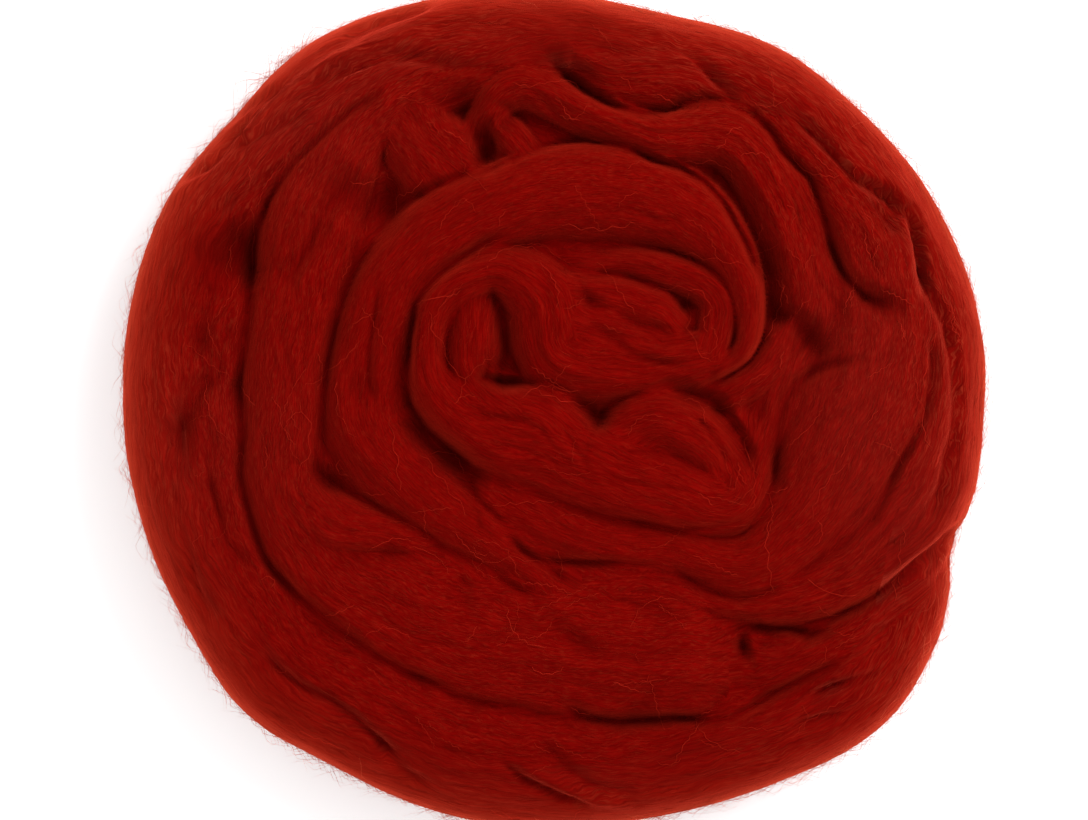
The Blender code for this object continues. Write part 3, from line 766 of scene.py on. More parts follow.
@dataclass
class Bundle:
    """How a set of places lies to every length at once: arrays of (lengths, places)."""

    lengths: Sequence[Length]
    x: Array
    y: Array
    parts: Dict[str, Array] = field(init=False)

    def __post_init__(self) -> None:
        """Fit every length to the places."""
        fits = [one.fit(self.x, self.y) for one in self.lengths]
        self.parts = {key: np.stack([fit[key] for fit in fits]) for key in fits[0]}

    @property
    def power(self) -> Array:
        """The sections' exponents, one row for each length."""
        return np.array([one.boxy for one in self.lengths])[:, None]

    @property
    def pairs(self) -> List[Tuple[int, int]]:
        """Numbers of the lengths that go on into each other."""
        names = [one.name for one in self.lengths]
        return [(names.index(a), names.index(b)) for a, b in GOES_ON if a in names and b in names]

    @property
    def rise(self) -> Array:
        """Height of each length over its own middle.

        It is b (1 - q^p)^(1/p), and past the edge it falls EDGE_SLOPE times as fast as it goes out.

        Returns:
            Heights in metres.
        """
        g, p = self.parts, self.power
        inner = np.clip(g["q"], 0.0, 1.0)
        bow = g["b"] * np.clip(1 - inner**p, 0.0, 1.0) ** (1 / p)
        return bow - EDGE_SLOPE * np.maximum(g["q"] - 1, 0.0) * g["a"]

    def top(self, blend: float, floor: Array) -> Array:
        """Height of the joined lengths' upper side.

        The heights h, each c plus the length's rise, join as k log(sum exp(h / k)).

        Args:
            blend: k, how softly neighbours join, in metres.
            floor: height of the filling between lengths at each place, in metres.

        Returns:
            Heights in metres.
        """
        own = np.concatenate([fold(self.parts["c"] + self.rise, self.pairs), floor[None]])
        peak = own.max(axis=0)
        return peak + blend * np.log(np.exp((own - peak) / blend).sum(axis=0))

    def bottom(self, blend: float, roof: float) -> Array:
        """Height of the joined lengths' lower side, the mirror image of top, and never below 0.

        Args:
            blend: how softly neighbours join, in metres.
            roof: greatest height, in metres.

        Returns:
            Heights in metres.
        """
        own = self.parts["c"] - self.rise
        low = own.min(axis=0)
        joined = low - blend * np.log(np.exp((low - own) / blend).sum(axis=0))
        return np.clip(joined, 0.0, roof)

    def gaps(self, z: Array) -> Array:
        """Rough distance of each place, at height z, outside each length.

        It is ((q^p + |(z - c) / b|^p)^(1/p) - 1) times the smaller half size.

        Args:
            z: heights of the places.

        Returns:
            Distances in metres, below 0 inside.
        """
        g, p = self.parts, self.power
        ring = (g["q"] ** p + (np.abs(z - g["c"]) / g["b"]) ** p) ** (1 / p)
        return (ring - 1) * np.minimum(g["a"], g["b"])

    def shares(self, z: Array, blend: float) -> Array:
        """Each length's share of the skin at each place, in step with exp(-gap / k).

        Args:
            z: heights of the places.
            blend: k, how softly the shares change over, in metres.

        Returns:
            Shares, adding up to 1 at each place.
        """
        gap = self.gaps(z)
        weight = np.exp(-(gap - gap.min(axis=0)) / blend)
        return weight / weight.sum(axis=0)

    def angles(self, z: Array) -> Array:
        """Angle round each length's section, 0 on top and positive to its left."""
        g = self.parts
        return np.arctan2(g["u"], (z - g["c"]) / g["b"])


def fold(values: Array, pairs: Sequence[Tuple[int, int]]) -> Array:
    """Fold each length's values into those of the one it goes on from.

    Args:
        values: a row for each length.
        pairs: (first, second) rows to fold.

    Returns:
        The rows, with the greater of both in the first and a value far below in the second.
    """
    out = values.copy()
    for first, second in pairs:
        out[first] = np.maximum(out[first], out[second])
        out[second] = -1.0
    return out


@dataclass(frozen=True)
class Pleats:
    """Soft folds that run along each length.

    Each kind is height * (1 - |2 n - 1| - 0.5), where n is smooth noise over the angle round the
    section and the distance along it: rounded hills with sharp valleys, which swing and fade.

    Attributes:
        widths: width of one fold for each kind, in metres.
        heights: height of each kind, in metres.
        runs: distance along the strand over which each kind changes, in metres.
    """

    widths: Tuple[float, ...] = (11 * MM, 6 * MM, 3.2 * MM, 1.8 * MM)
    heights: Tuple[float, ...] = (1.8 * MM, 1.0 * MM, 0.42 * MM, 0.2 * MM)
    runs: Tuple[float, ...] = (55 * MM, 38 * MM, 26 * MM, 17 * MM)

    def push(self, length: Length, s: Array, angle: Array, half: Array) -> Array:
        """How far the folds push one length's skin out.

        Args:
            length: the length.
            s: distance along it.
            angle: angle round its section.
            half: mean half size of its section.

        Returns:
            The push in metres, at places of the same shape.
        """
        total = np.zeros(s.shape)
        for kind, (width, height, run) in enumerate(zip(self.widths, self.heights, self.runs)):
            noise = SoftNoise(length.seed * 10 + kind)
            sway = SoftNoise(length.seed * 10 + kind + 5).at(s / (1.6 * run), angle * 0.4)
            hill = noise.at(angle * half / width + 2.2 * sway, s / run + 0.5 * sway)
            slim = np.clip(half / (7 * MM), 0.3, 1.0)
            total += height * slim * (0.5 - np.abs(2 * hill - 1))
        return total

    def total(self, bundle: Bundle, z: Array, shares: Array) -> Array:
        """Push of all lengths, each by its share.

        Args:
            bundle: how the places lie to the lengths.
            z: heights of the places.
            shares: the lengths' shares there.

        Returns:
            The push in metres.
        """
        angle = bundle.angles(z)
        out = np.zeros(len(z))
        for k, length in enumerate(bundle.lengths):
            some = shares[k] > LEAST_SHARE
            half = (bundle.parts["a"][k, some] + bundle.parts["b"][k, some]) / 2
            push = self.push(length, bundle.parts["s"][k, some], angle[k, some], half)
            out[some] += shares[k, some] * push
        return out


def side_folds(bearing: Array, height: Array) -> Array:
    """How far the side folds press the flank in, in metres.

    With w the fold's wave sin(lobes * bearing + start), it goes in by
    depth (0.6 + 0.4 w(2 * bearing)) exp(-((height - middle - sway w) / width)^2).

    Args:
        bearing: bearings of places on the flank.
        height: their heights, in metres.

    Returns:
        The depth at each place.
    """
    out = np.zeros(len(bearing))
    for one in SIDE_FOLDS:
        wave = np.sin(one.lobes * bearing + one.start)
        comes = 0.6 + 0.4 * np.sin(2 * one.lobes * bearing + one.start)
        away = (height / MM - one.height - one.sway * wave) / one.width
        out += one.depth * MM * comes * np.exp(-(away**2))
    return out


def pressed(x: Array, y: Array) -> Array:
    """How far the creases press the crown down, in metres.

    With d the distance from a crease's line, a crease goes down by depth (1 - (d / w)^2)^4, and
    a ridge, or a hollow wider than WIDE, by depth (1 - (d / w)^2)^2. All fade to a quarter of
    that over END_FADE at the line's ends.

    Args:
        x: places, in metres.
        y: their other coordinate.

    Returns:
        The depth at each place.
    """
    out = np.zeros(len(x))
    for crease in CREASES:
        line = np.array(crease.points, float) * MM
        width = crease.width * MM
        near = (x > line[:, 0].min() - width) & (x < line[:, 0].max() + width)
        near &= (y > line[:, 1].min() - width) & (y < line[:, 1].max() + width)
        if not near.any():
            continue
        here = np.stack([x[near], y[near]], axis=1)
        way = np.diff(line, axis=0)
        size = np.linalg.norm(way, axis=1)
        start = np.concatenate([[0.0], np.cumsum(size)])
        offset = here[:, None] - line[None, :-1]
        t = np.clip((offset * way).sum(axis=2) / size**2, 0.0, 1.0)
        away = np.linalg.norm(offset - t[..., None] * way, axis=2)
        pick = away.argmin(axis=1)
        rows = np.arange(len(here))
        along = (start[pick] + t[rows, pick] * size[pick]) / start[-1]
        fade = np.clip(np.minimum(along, 1 - along) * start[-1] / END_FADE, 0.0, 1.0)
        u = np.clip(away[rows, pick] / width, 0.0, 1.0)
        form = (1 - u * u) ** (4 if 0 < crease.depth and crease.width < WIDE else 2)
        out[near] += crease.depth * MM * (0.25 + 0.75 * fade) * form
    return out


# --- Finishes ---


class Shade(Enum):
    """Colours of the dyed fibre, and of the painted glow, glint, sheen and shade mixed into it, linear red,
    green and blue.
    """

    DEEP = (0.080, 0.0004, 0.0003)
    BODY = (0.120, 0.0007, 0.0005)
    BRIGHT = (0.172, 0.0018, 0.0010)
    PALE = (0.270, 0.0110, 0.0055)
    # Painted glow of light through the thin rim, and a paler painted glow at the very outline.
    EDGE_GLOW = (0.365, 0.0165, 0.0065)
    OUTLINE_GLOW = (0.450, 0.0850, 0.0350)
    # The rim fuzz's own red, brightened as a painted glow of light shining through the hairs.
    FUZZ_GLOW = (0.540, 0.0750, 0.0350)
    # Painted glint on pale hairs.
    GLINT = (0.330, 0.0360, 0.0145)
    # Painted sheen, where the window light catches the surface.
    SHEEN_VEIL = (0.150, 0.0240, 0.0170)
    # Painted shade in the crown's dips and creases.
    HOLLOW_SHADE = (0.032, 0.0003, 0.0002)


@dataclass
class Graph:
    """A material under construction, with short ways to add and join its nodes."""

    name: str
    material: bpy.types.Material = field(init=False)

    def __post_init__(self) -> None:
        """Start from a material that holds one Principled shader."""
        self.material = bpy.data.materials.new(self.name)
        self.material.use_nodes = True

    def add(self, kind: str, **values: object) -> bpy.types.Node:
        """Add a node.

        Args:
            kind: its type.
            values: inputs to link or set, and properties to set, by name.

        Returns:
            The node.
        """
        node = self.material.node_tree.nodes.new(kind)
        for key, value in values.items():
            if key in node.inputs:
                self.put(value, node.inputs[key])
            else:
                setattr(node, key, value)
        return node

    def mark(self, name: str) -> Socket:
        """One of the mesh's values by name."""
        return self.add("ShaderNodeAttribute", attribute_name=name).outputs["Fac"]

    def wear(self, name: str, value: object) -> None:
        """Link or set one of the Principled shader's inputs."""
        self.put(value, self.material.node_tree.nodes["Principled BSDF"].inputs[name])

    def put(self, value: object, socket: Socket) -> None:
        """Give an input its value.

        Args:
            value: a socket to link, or a number or colour to set.
            socket: the input.
        """
        if isinstance(value, Socket):
            self.material.node_tree.links.new(value, socket)
        else:
            socket.default_value = value

    def fill(self, node: bpy.types.Node, *values: object, start: int = 0) -> bpy.types.Node:
        """Give a node's inputs their values in order.

        Args:
            node: the node.
            values: sockets to link, or numbers or colours to set.
            start: the first input's number.

        Returns:
            The same node.
        """
        for number, value in enumerate(values, start):
            self.put(value, node.inputs[number])
        return node

    def math(self, operation: str, first: object, second: object = 0.0) -> Socket:
        """Result of a Math node on two sockets or numbers."""
        return self.fill(self.add("ShaderNodeMath", operation=operation), first, second).outputs[0]

    def noise(self, vector: Socket, scale: float, detail: float, rough: float) -> Socket:
        """Value of a Noise texture on a vector."""
        node = self.add("ShaderNodeTexNoise", Vector=vector, Scale=scale, Detail=detail, Roughness=rough)
        return node.outputs["Fac"]

    def streaks(
        self, where: Sequence[Socket], streak: float, run: float, detail: float, rough: float
    ) -> Socket:
        """Noise squeezed across the strand and drawn out along it.

        Args:
            where: place round the section, place along the strand, and the length's seed.
            streak: streaks to a millimetre.
            run: how many times longer than wide they are.
            detail: the noise's detail.
            rough: the noise's roughness.

        Returns:
            The noise.
        """
        across = self.math("MULTIPLY", where[0], streak)
        along = self.math("MULTIPLY", where[1], streak / run)
        squeezed = self.fill(self.add("ShaderNodeCombineXYZ"), across, along, where[2])
        return self.noise(squeezed.outputs[0], 1.0, detail, rough)

    def ramp(self, value: Socket, *stops: Tuple[float, Sequence[float]]) -> Socket:
        """A colour ramp.

        Args:
            value: what it runs over.
            stops: (place, colour) of each stop.

        Returns:
            The colour.
        """
        node = self.add("ShaderNodeValToRGB", Fac=value)
        for i, (place, colour) in enumerate(stops):
            element = node.color_ramp.elements[i] if i < 2 else node.color_ramp.elements.new(place)
            element.position = place
            element.color = (*colour, 1.0)
        return node.outputs["Color"]

    def mix(self, share: object, first: object, second: object) -> Socket:
        """Two colours mixed by a share; inputs 6 and 7 of a Mix node are its colours."""
        node = self.fill(self.add("ShaderNodeMix", data_type="RGBA"), share)
        return self.fill(node, first, second, start=6).outputs[2]

    def edge(self, colour: Socket, streaks: object = 0.5) -> Socket:
        """Paint light and shade into a colour: a glow towards the nest's outline, standing in for light
        through the thin wool, and painted shade and sheen.

        The share of the painted glow is the mesh's "edge" times 2.1 streaks - 0.1, and over that
        goes 0.47 times the outline glow value times the same, of a paler painted glow. The painted
        shade value darkens the colour by up to 0.5, and the painted sheen value veils it with a paler red.

        Args:
            colour: the wool's own colour.
            streaks: how strongly the painted glow shows from streak to streak, about 0.5.

        Returns:
            The colour with its painted light and shade.
        """
        thin = self.math("MAXIMUM", self.math("SUBTRACT", self.math("MULTIPLY", streaks, 2.1), 0.1), 0.0)
        share = self.math("MULTIPLY", self.mark("edge"), thin)
        # Painted sheen: a paler veil in the sheen patches.
        veiled = self.mix(self.mark("painted_sheen"), colour, (*Shade.SHEEN_VEIL.value, 1.0))
        # Painted shade: darker in the crown's dips and in the shade patches.
        shaded = self.mix(self.math("MULTIPLY", self.mark("painted_shade"), 0.5), veiled, (*Shade.HOLLOW_SHADE.value, 1.0))
        # Painted glow towards the outline, then a paler painted glow right at it.
        lit = self.mix(share, shaded, (*Shade.EDGE_GLOW.value, 1.0))
        pale = self.math("MULTIPLY", self.math("MULTIPLY", self.mark("fringe"), thin), 0.47)
        return self.mix(pale, lit, (*Shade.OUTLINE_GLOW.value, 1.0))

    def bump(self, strength: float, distance: float, height: Socket) -> None:
        """Give the shader a relief from a height."""
        node = self.add("ShaderNodeBump", Strength=strength, Distance=distance, Height=height)
        self.wear("Normal", node.outputs[0])

    def glow(self, weight: float, tint: Sequence[float]) -> None:
        """Give the shader the soft sheen of fine hairs and next to no gloss.

        Args:
            weight: strength of the sheen.
            tint: its colour.
        """
        self.wear("Sheen Weight", weight)
        self.wear("Sheen Roughness", 0.45)
        self.wear("Sheen Tint", (*tint, 1.0))
        self.wear("Specular IOR Level", 0.0)


@dataclass(frozen=True)
class CombedWool:
    """Finish of the strand's skin: fine streaks along it and their relief, with painted glints, glow, sheen
    and shade in its colour.

    Attributes:
        name: the material's name.
        streak: fine streaks to a millimetre.
        run: how many times longer than wide a streak is.
        relief: height of the streaks, in metres.
        crimp: how far the fibres' short waves push the streaks sideways, in millimetres.
        hairs: share of hairs with a painted glint near the outline; there are 0.15 as many far inside, and
        between the two they thin out as exp(-inset / 30). Where the painted shade is 0.45 or more
        there are none.
        sheen: strength of the soft glow at grazing angles.
        tint: colour of that glow.
    """

    name: str = "combed_wool"
    streak: float = 2.6
    run: float = 15.0
    relief: float = 0.30 * MM
    crimp: float = 0.5
    hairs: float = 0.36
    sheen: float = 0.32
    tint: Tuple[float, float, float] = (1.0, 0.048, 0.020)

    def material(self) -> bpy.types.Material:
        """Build the material.

        The mesh's "lay" gives millimetres round the section and along the strand. Noise over
        (round * streak, along * streak / run), swayed by a slow noise, makes the streaks.

        Returns:
            The material.
        """
        g = Graph(self.name)
        lay = g.add("ShaderNodeAttribute", attribute_name="lay")
        around, along, seed = g.add("ShaderNodeSeparateXYZ", Vector=lay.outputs["Vector"]).outputs
        sway = g.streaks((around, along, seed), 0.16, 2.2, 3.0, 0.5)
        crimp = g.streaks((around, along, seed), 0.9, 1.4, 2.0, 0.5)
        broad_sway = g.math("ADD", around, g.math("MULTIPLY", g.math("SUBTRACT", sway, 0.5), 4.5))
        swayed = g.math("ADD", broad_sway, g.math("MULTIPLY", g.math("SUBTRACT", crimp, 0.5), self.crimp))
        where = (swayed, along, seed)
        fine = g.streaks(where, self.streak, self.run, 5.0, 0.6)
        broad = g.streaks(where, self.streak / 5, self.run / 3, 2.0, 0.5)
        hair = g.streaks(where, self.streak * 2.1, self.run / 1.3, 2.0, 0.5)
        value = g.math("ADD", g.math("MULTIPLY", fine, 0.75), g.math("MULTIPLY", broad, 0.25))
        deep, body, bright = Shade.DEEP.value, Shade.BODY.value, Shade.BRIGHT.value
        colour = g.ramp(value, (0.34, deep), (0.50, body), (0.68, bright))
        # Painted glint: pale hair streaks mixed in, more of them near the outline and none in the painted
        # shade.
        glint = g.math("MULTIPLY", g.ramp(hair, (0.50, (0.0,) * 3), (0.68, (1.0,) * 3)), self.hairs)
        outer = g.math("EXPONENT", g.math("MULTIPLY", g.mark("inset"), -1 / 30.0))
        painted_shade = g.math("MULTIPLY", g.mark("painted_shade"), 2.2)
        out_of_shade = g.math("MAXIMUM", g.math("SUBTRACT", 1.0, painted_shade), 0.0)
        seen = g.math("MULTIPLY", g.math("ADD", g.math("MULTIPLY", outer, 0.85), 0.15), out_of_shade)
        share = g.math("MULTIPLY", glint, seen)
        g.wear("Base Color", g.edge(g.mix(share, colour, (*Shade.GLINT.value, 1.0)), fine))
        g.wear("Roughness", g.ramp(fine, (0.3, (0.98,) * 3), (0.7, (0.86,) * 3)))
        g.bump(0.8, self.relief, g.math("ADD", fine, g.math("MULTIPLY", hair, 0.5)))
        g.glow(self.sheen, self.tint)
        return g.material


@dataclass(frozen=True)
class SingleFibre:
    """Finish of single fibres: one shade, lighter and darker from place to place, with the skin's painted
    glow, shade and sheen where the mesh carries them.

    Attributes:
        name: the material's name.
        shade: its colour.
        gain: how much brighter than that it is.
        sheen: strength of its glow at grazing angles.
    """

    name: str
    shade: Shade
    gain: float = 1.0
    sheen: float = 0.3

    def material(self) -> bpy.types.Material:
        """Build the material: noise on the object's own coordinates sways shade and roughness.

        Returns:
            The material.
        """
        g = Graph(self.name)
        where = g.add("ShaderNodeTexCoord").outputs["Object"]
        base = np.array(self.shade.value) * self.gain
        value = g.noise(where, 160.0, 2.0, 0.5)
        # Painted glow, shade and sheen as on the skin, where the mesh carries them.
        g.wear("Base Color", g.edge(g.ramp(value, (0.3, base * 0.7), (0.7, base * 1.3))))
        g.wear("Roughness", g.ramp(value, (0.3, (0.9,) * 3), (0.7, (0.7,) * 3)))
        g.bump(0.3, 0.05 * MM, g.noise(where, 900.0, 2.0, 0.5))
        g.glow(self.sheen, (1.0, 0.06, 0.025))
        return g.material


@dataclass(frozen=True)
class PaleFloor:
    """Plain matt white table, lit a little from below.

    Attributes:
        white: its reflectance.
        lit: how much light comes through it.
    """

    white: float = 0.88
    lit: float = 0.22

    def material(self) -> bpy.types.Material:
        """Build the material: a faint broad mottle on a near white.

        Returns:
            The material.
        """
        g = Graph("white_table")
        where = g.add("ShaderNodeTexCoord").outputs["Object"]
        low, high = (self.white,) * 3, (self.white + 0.02,) * 3
        g.wear("Base Color", g.ramp(g.noise(where, 3.0, 2.0, 0.5), (0.3, low), (0.7, high)))
        g.wear("Roughness", 0.9)
        g.wear("Specular IOR Level", 0.05)
        g.wear("Emission Color", (1.0,) * 4)
        g.wear("Emission Strength", self.lit)
        return g.material


# --- Meshes ---


@dataclass
class Shell:
    """Points and faces gathered for one piece.

    Attributes:
        name: the piece's name.
    """

    name: str
    points: List[Array] = field(default_factory=list)
    quads: List[Array] = field(default_factory=list)
    triangles: List[Array] = field(default_factory=list)
    count: int = 0

    def add(self, points: Array, quads: Optional[Array] = None, triangles: Optional[Array] = None) -> None:
        """Add points and the faces that join them.

        Args:
            points: the points, with a last axis of three.
            quads: their quads, numbered from the first of these points.
            triangles: their triangles.
        """
        self.points.append(points.reshape(-1, 3))
        if quads is not None:
            self.quads.append(quads.reshape(-1, 4) + self.count)
        if triangles is not None:
            self.triangles.append(triangles.reshape(-1, 3) + self.count)
        self.count += points.size // 3

    def triangle_count(self) -> int:
        """Triangles in the piece, counting two for each quad."""
        return sum(len(q) for q in self.quads) * 2 + sum(len(t) for t in self.triangles)

    def build(
        self,
        material: bpy.types.Material,
        normals: Optional[Array] = None,
        lay: Optional[Array] = None,
        marks: Optional[Dict[str, Array]] = None,
    ) -> bpy.types.Object:
        """Make the object, smooth shaded.

        Args:
            material: the finish it wears.
            normals: a normal for each point, if they aren't to be worked out.
            lay: the "lay" value of each face corner, quads first.
            marks: values of each point by name.

        Returns:
            The new object, at the origin.
        """
        points = np.concatenate(self.points).astype(np.float32)
        quads = np.concatenate(self.quads) if self.quads else np.empty((0, 4), int)
        triangles = np.concatenate(self.triangles) if self.triangles else np.empty((0, 3), int)
        corners = np.concatenate([quads.ravel(), triangles.ravel()]).astype(np.int32)
        sizes = np.repeat([4, 3], [len(quads), len(triangles)])
        starts = np.concatenate([[0], np.cumsum(sizes)[:-1]]).astype(np.int32)
        mesh = bpy.data.meshes.new(self.name)
        mesh.vertices.add(len(points))
        mesh.vertices.foreach_set("co", points.ravel())
        mesh.loops.add(len(corners))
        mesh.loops.foreach_set("vertex_index", corners)
        mesh.polygons.add(len(sizes))
        mesh.polygons.foreach_set("loop_start", starts)
        mesh.polygons.foreach_set("use_smooth", np.ones(len(sizes), bool))
        if lay is not None:
            attribute = mesh.attributes.new("lay", "FLOAT_VECTOR", "CORNER")
            attribute.data.foreach_set("vector", lay.astype(np.float32).ravel())
        for key, values in (marks or {}).items():
            mesh.attributes.new(key, "FLOAT", "POINT").data.foreach_set("value", values.astype(np.float32))
        mesh.materials.append(material)
        mesh.update(calc_edges=True)
        mesh.validate()
        if normals is not None:
            mesh.normals_split_custom_set_from_vertices(normals.astype(np.float32))
        piece = bpy.data.objects.new(self.name, mesh)
        bpy.context.scene.collection.objects.link(piece)
        return piece


@dataclass
class WoundNest:
    """All the lengths of the nest, upper and lower course.

    Attributes:
        lower_inset: reach of the lower rim turn, as a share of the upper one's.
        lower_sway: how much that reach comes and goes, twice round.
        lower_width: the lower rim turn's width.
        lower_wave: how much its width swells, three times round.
        lower_depth: its depth.
        base_sink: how far the bottom turns press into the surface below.
        spiral_outer: outermost radius of the turns hidden under the nest.
        spiral_inner: innermost radius of those turns.
        spiral_turns: how many turns they make.
        spiral_width: their width.
        spiral_depth: their depth.
        stretch: how much longer the spiral is along X than along Y.
    """

    lower_inset: float = 0.975
    lower_sway: float = 0.012
    lower_width: float = 30.0
    lower_wave: float = 3.0
    lower_depth: float = 24.5
    base_sink: float = 3.5
    spiral_outer: float = 90.0
    spiral_inner: float = 5.0
    spiral_turns: float = 3.0
    spiral_width: float = 27.0
    spiral_depth: float = 28.0
    stretch: float = 1.04

    def upper(self) -> List[Length]:
        """The lengths of the upper course, each with a seed of its own."""
        return [Length(name, Course(rows), 11 + 7 * k) for k, (name, rows) in enumerate(UPPER.items())]

    def lower_rim(self) -> Length:
        """The lower rim turn, which follows the upper one a little further in.

        Returns:
            The closed length.
        """
        ring = []
        for row in RIM_TURN[1:RIM_LAP]:
            bearing = math.atan2(row.y, row.x)
            width = self.lower_width - self.lower_wave * math.sin(3 * bearing)
            share = self.lower_inset + self.lower_sway * math.sin(2 * bearing + 1.0)
            reach = math.hypot(row.x, row.y)
            middle = ((reach + row.width / 2) * share - width / 2) / reach
            top = self.lower_depth - self.base_sink
            ring.append(Station(row.x * middle, row.y * middle, top, width, self.lower_depth))
        return Length("lower_rim", Course([*ring, ring[0]], closed=True), 301, upper=False)

    def lower_spiral(self) -> Length:
        """The flat spiral inside it, its radius falling evenly with the angle.

        Returns:
            The open length.
        """
        turn = np.linspace(0.0, 1.0, int(self.spiral_turns * 24))
        radius = self.spiral_outer + (self.spiral_inner - self.spiral_outer) * turn
        angle = -TAU * self.spiral_turns * turn
        top = self.spiral_depth - self.base_sink
        places = zip(radius * np.cos(angle) * self.stretch, radius * np.sin(angle))
        rows = [Station(x, y, top, self.spiral_width, self.spiral_depth) for x, y in places]
        return Length("lower_spiral", Course(rows), 307, upper=False)


@dataclass
class Disc:
    """A square grid bent into a disc, so that its cells stay about even in size.

    The four sides of the square become four quarters of the rim. A point (u, v) with |u| the
    greater goes to radius |u| and bearing (v / u) * 45 degrees, and so on round.

    Attributes:
        cells: cells along one side.
        bearings: bearings at which the radius is known, ascending over one turn.
        radii: the disc's radius there, in metres.
    """

    cells: int
    bearings: Array
    radii: Array

    def radius(self, bearing: Array) -> Array:
        """Radius of the disc's edge at a bearing."""
        return np.interp(bearing, self.bearings, self.radii, period=TAU)

    def grid(self) -> Tuple[Array, Array]:
        """Places of the grid's points.

        Returns:
            (x, y), each of (cells + 1, cells + 1).
        """
        line = np.linspace(-1.0, 1.0, self.cells + 1)
        u, v = np.meshgrid(line, line, indexing="ij")
        wide = np.abs(u) >= np.abs(v)
        big, small = np.where(wide, u, v), np.where(wide, v, u)
        ratio = np.divide(small, big, out=np.zeros_like(big), where=np.abs(big) > 1e-9)
        angle = np.where(wide, EIGHTH * ratio, 2 * EIGHTH - EIGHTH * ratio)
        x, y = big * np.cos(angle), big * np.sin(angle)
        reach = self.radius(np.arctan2(y, x))
        return x * reach, y * reach

    def cell(self, x: Array, y: Array) -> Tuple[Array, Array]:
        """The grid's own coordinates of places.

        Args:
            x: places, in metres.
            y: their other coordinate.

        Returns:
            (i, k), each from 0 to cells.
        """
        bearing = np.arctan2(y, x)
        share = np.hypot(x, y) / self.radius(bearing)
        sector = np.round(bearing / (2 * EIGHTH))
        small = share * (bearing - sector * 2 * EIGHTH) / EIGHTH
        cos, sin = np.cos(sector * 2 * EIGHTH), np.sin(sector * 2 * EIGHTH)
        u, v = share * cos - small * sin, share * sin + small * cos
        return (u + 1) / 2 * self.cells, (v + 1) / 2 * self.cells

    def read(self, values: Array, x: Array, y: Array) -> Array:
        """Values of the grid's points, blended between the four round each place."""
        return read_grid(values, *self.cell(x, y))

    def edge(self) -> Array:
        """Numbers of the grid's outermost points, round from -45 degrees."""
        number = np.arange((self.cells + 1) ** 2).reshape(self.cells + 1, self.cells + 1)
        return np.concatenate([number[-1, :-1], number[::-1, -1][:-1], number[0, ::-1][:-1], number[:-1, 0]])


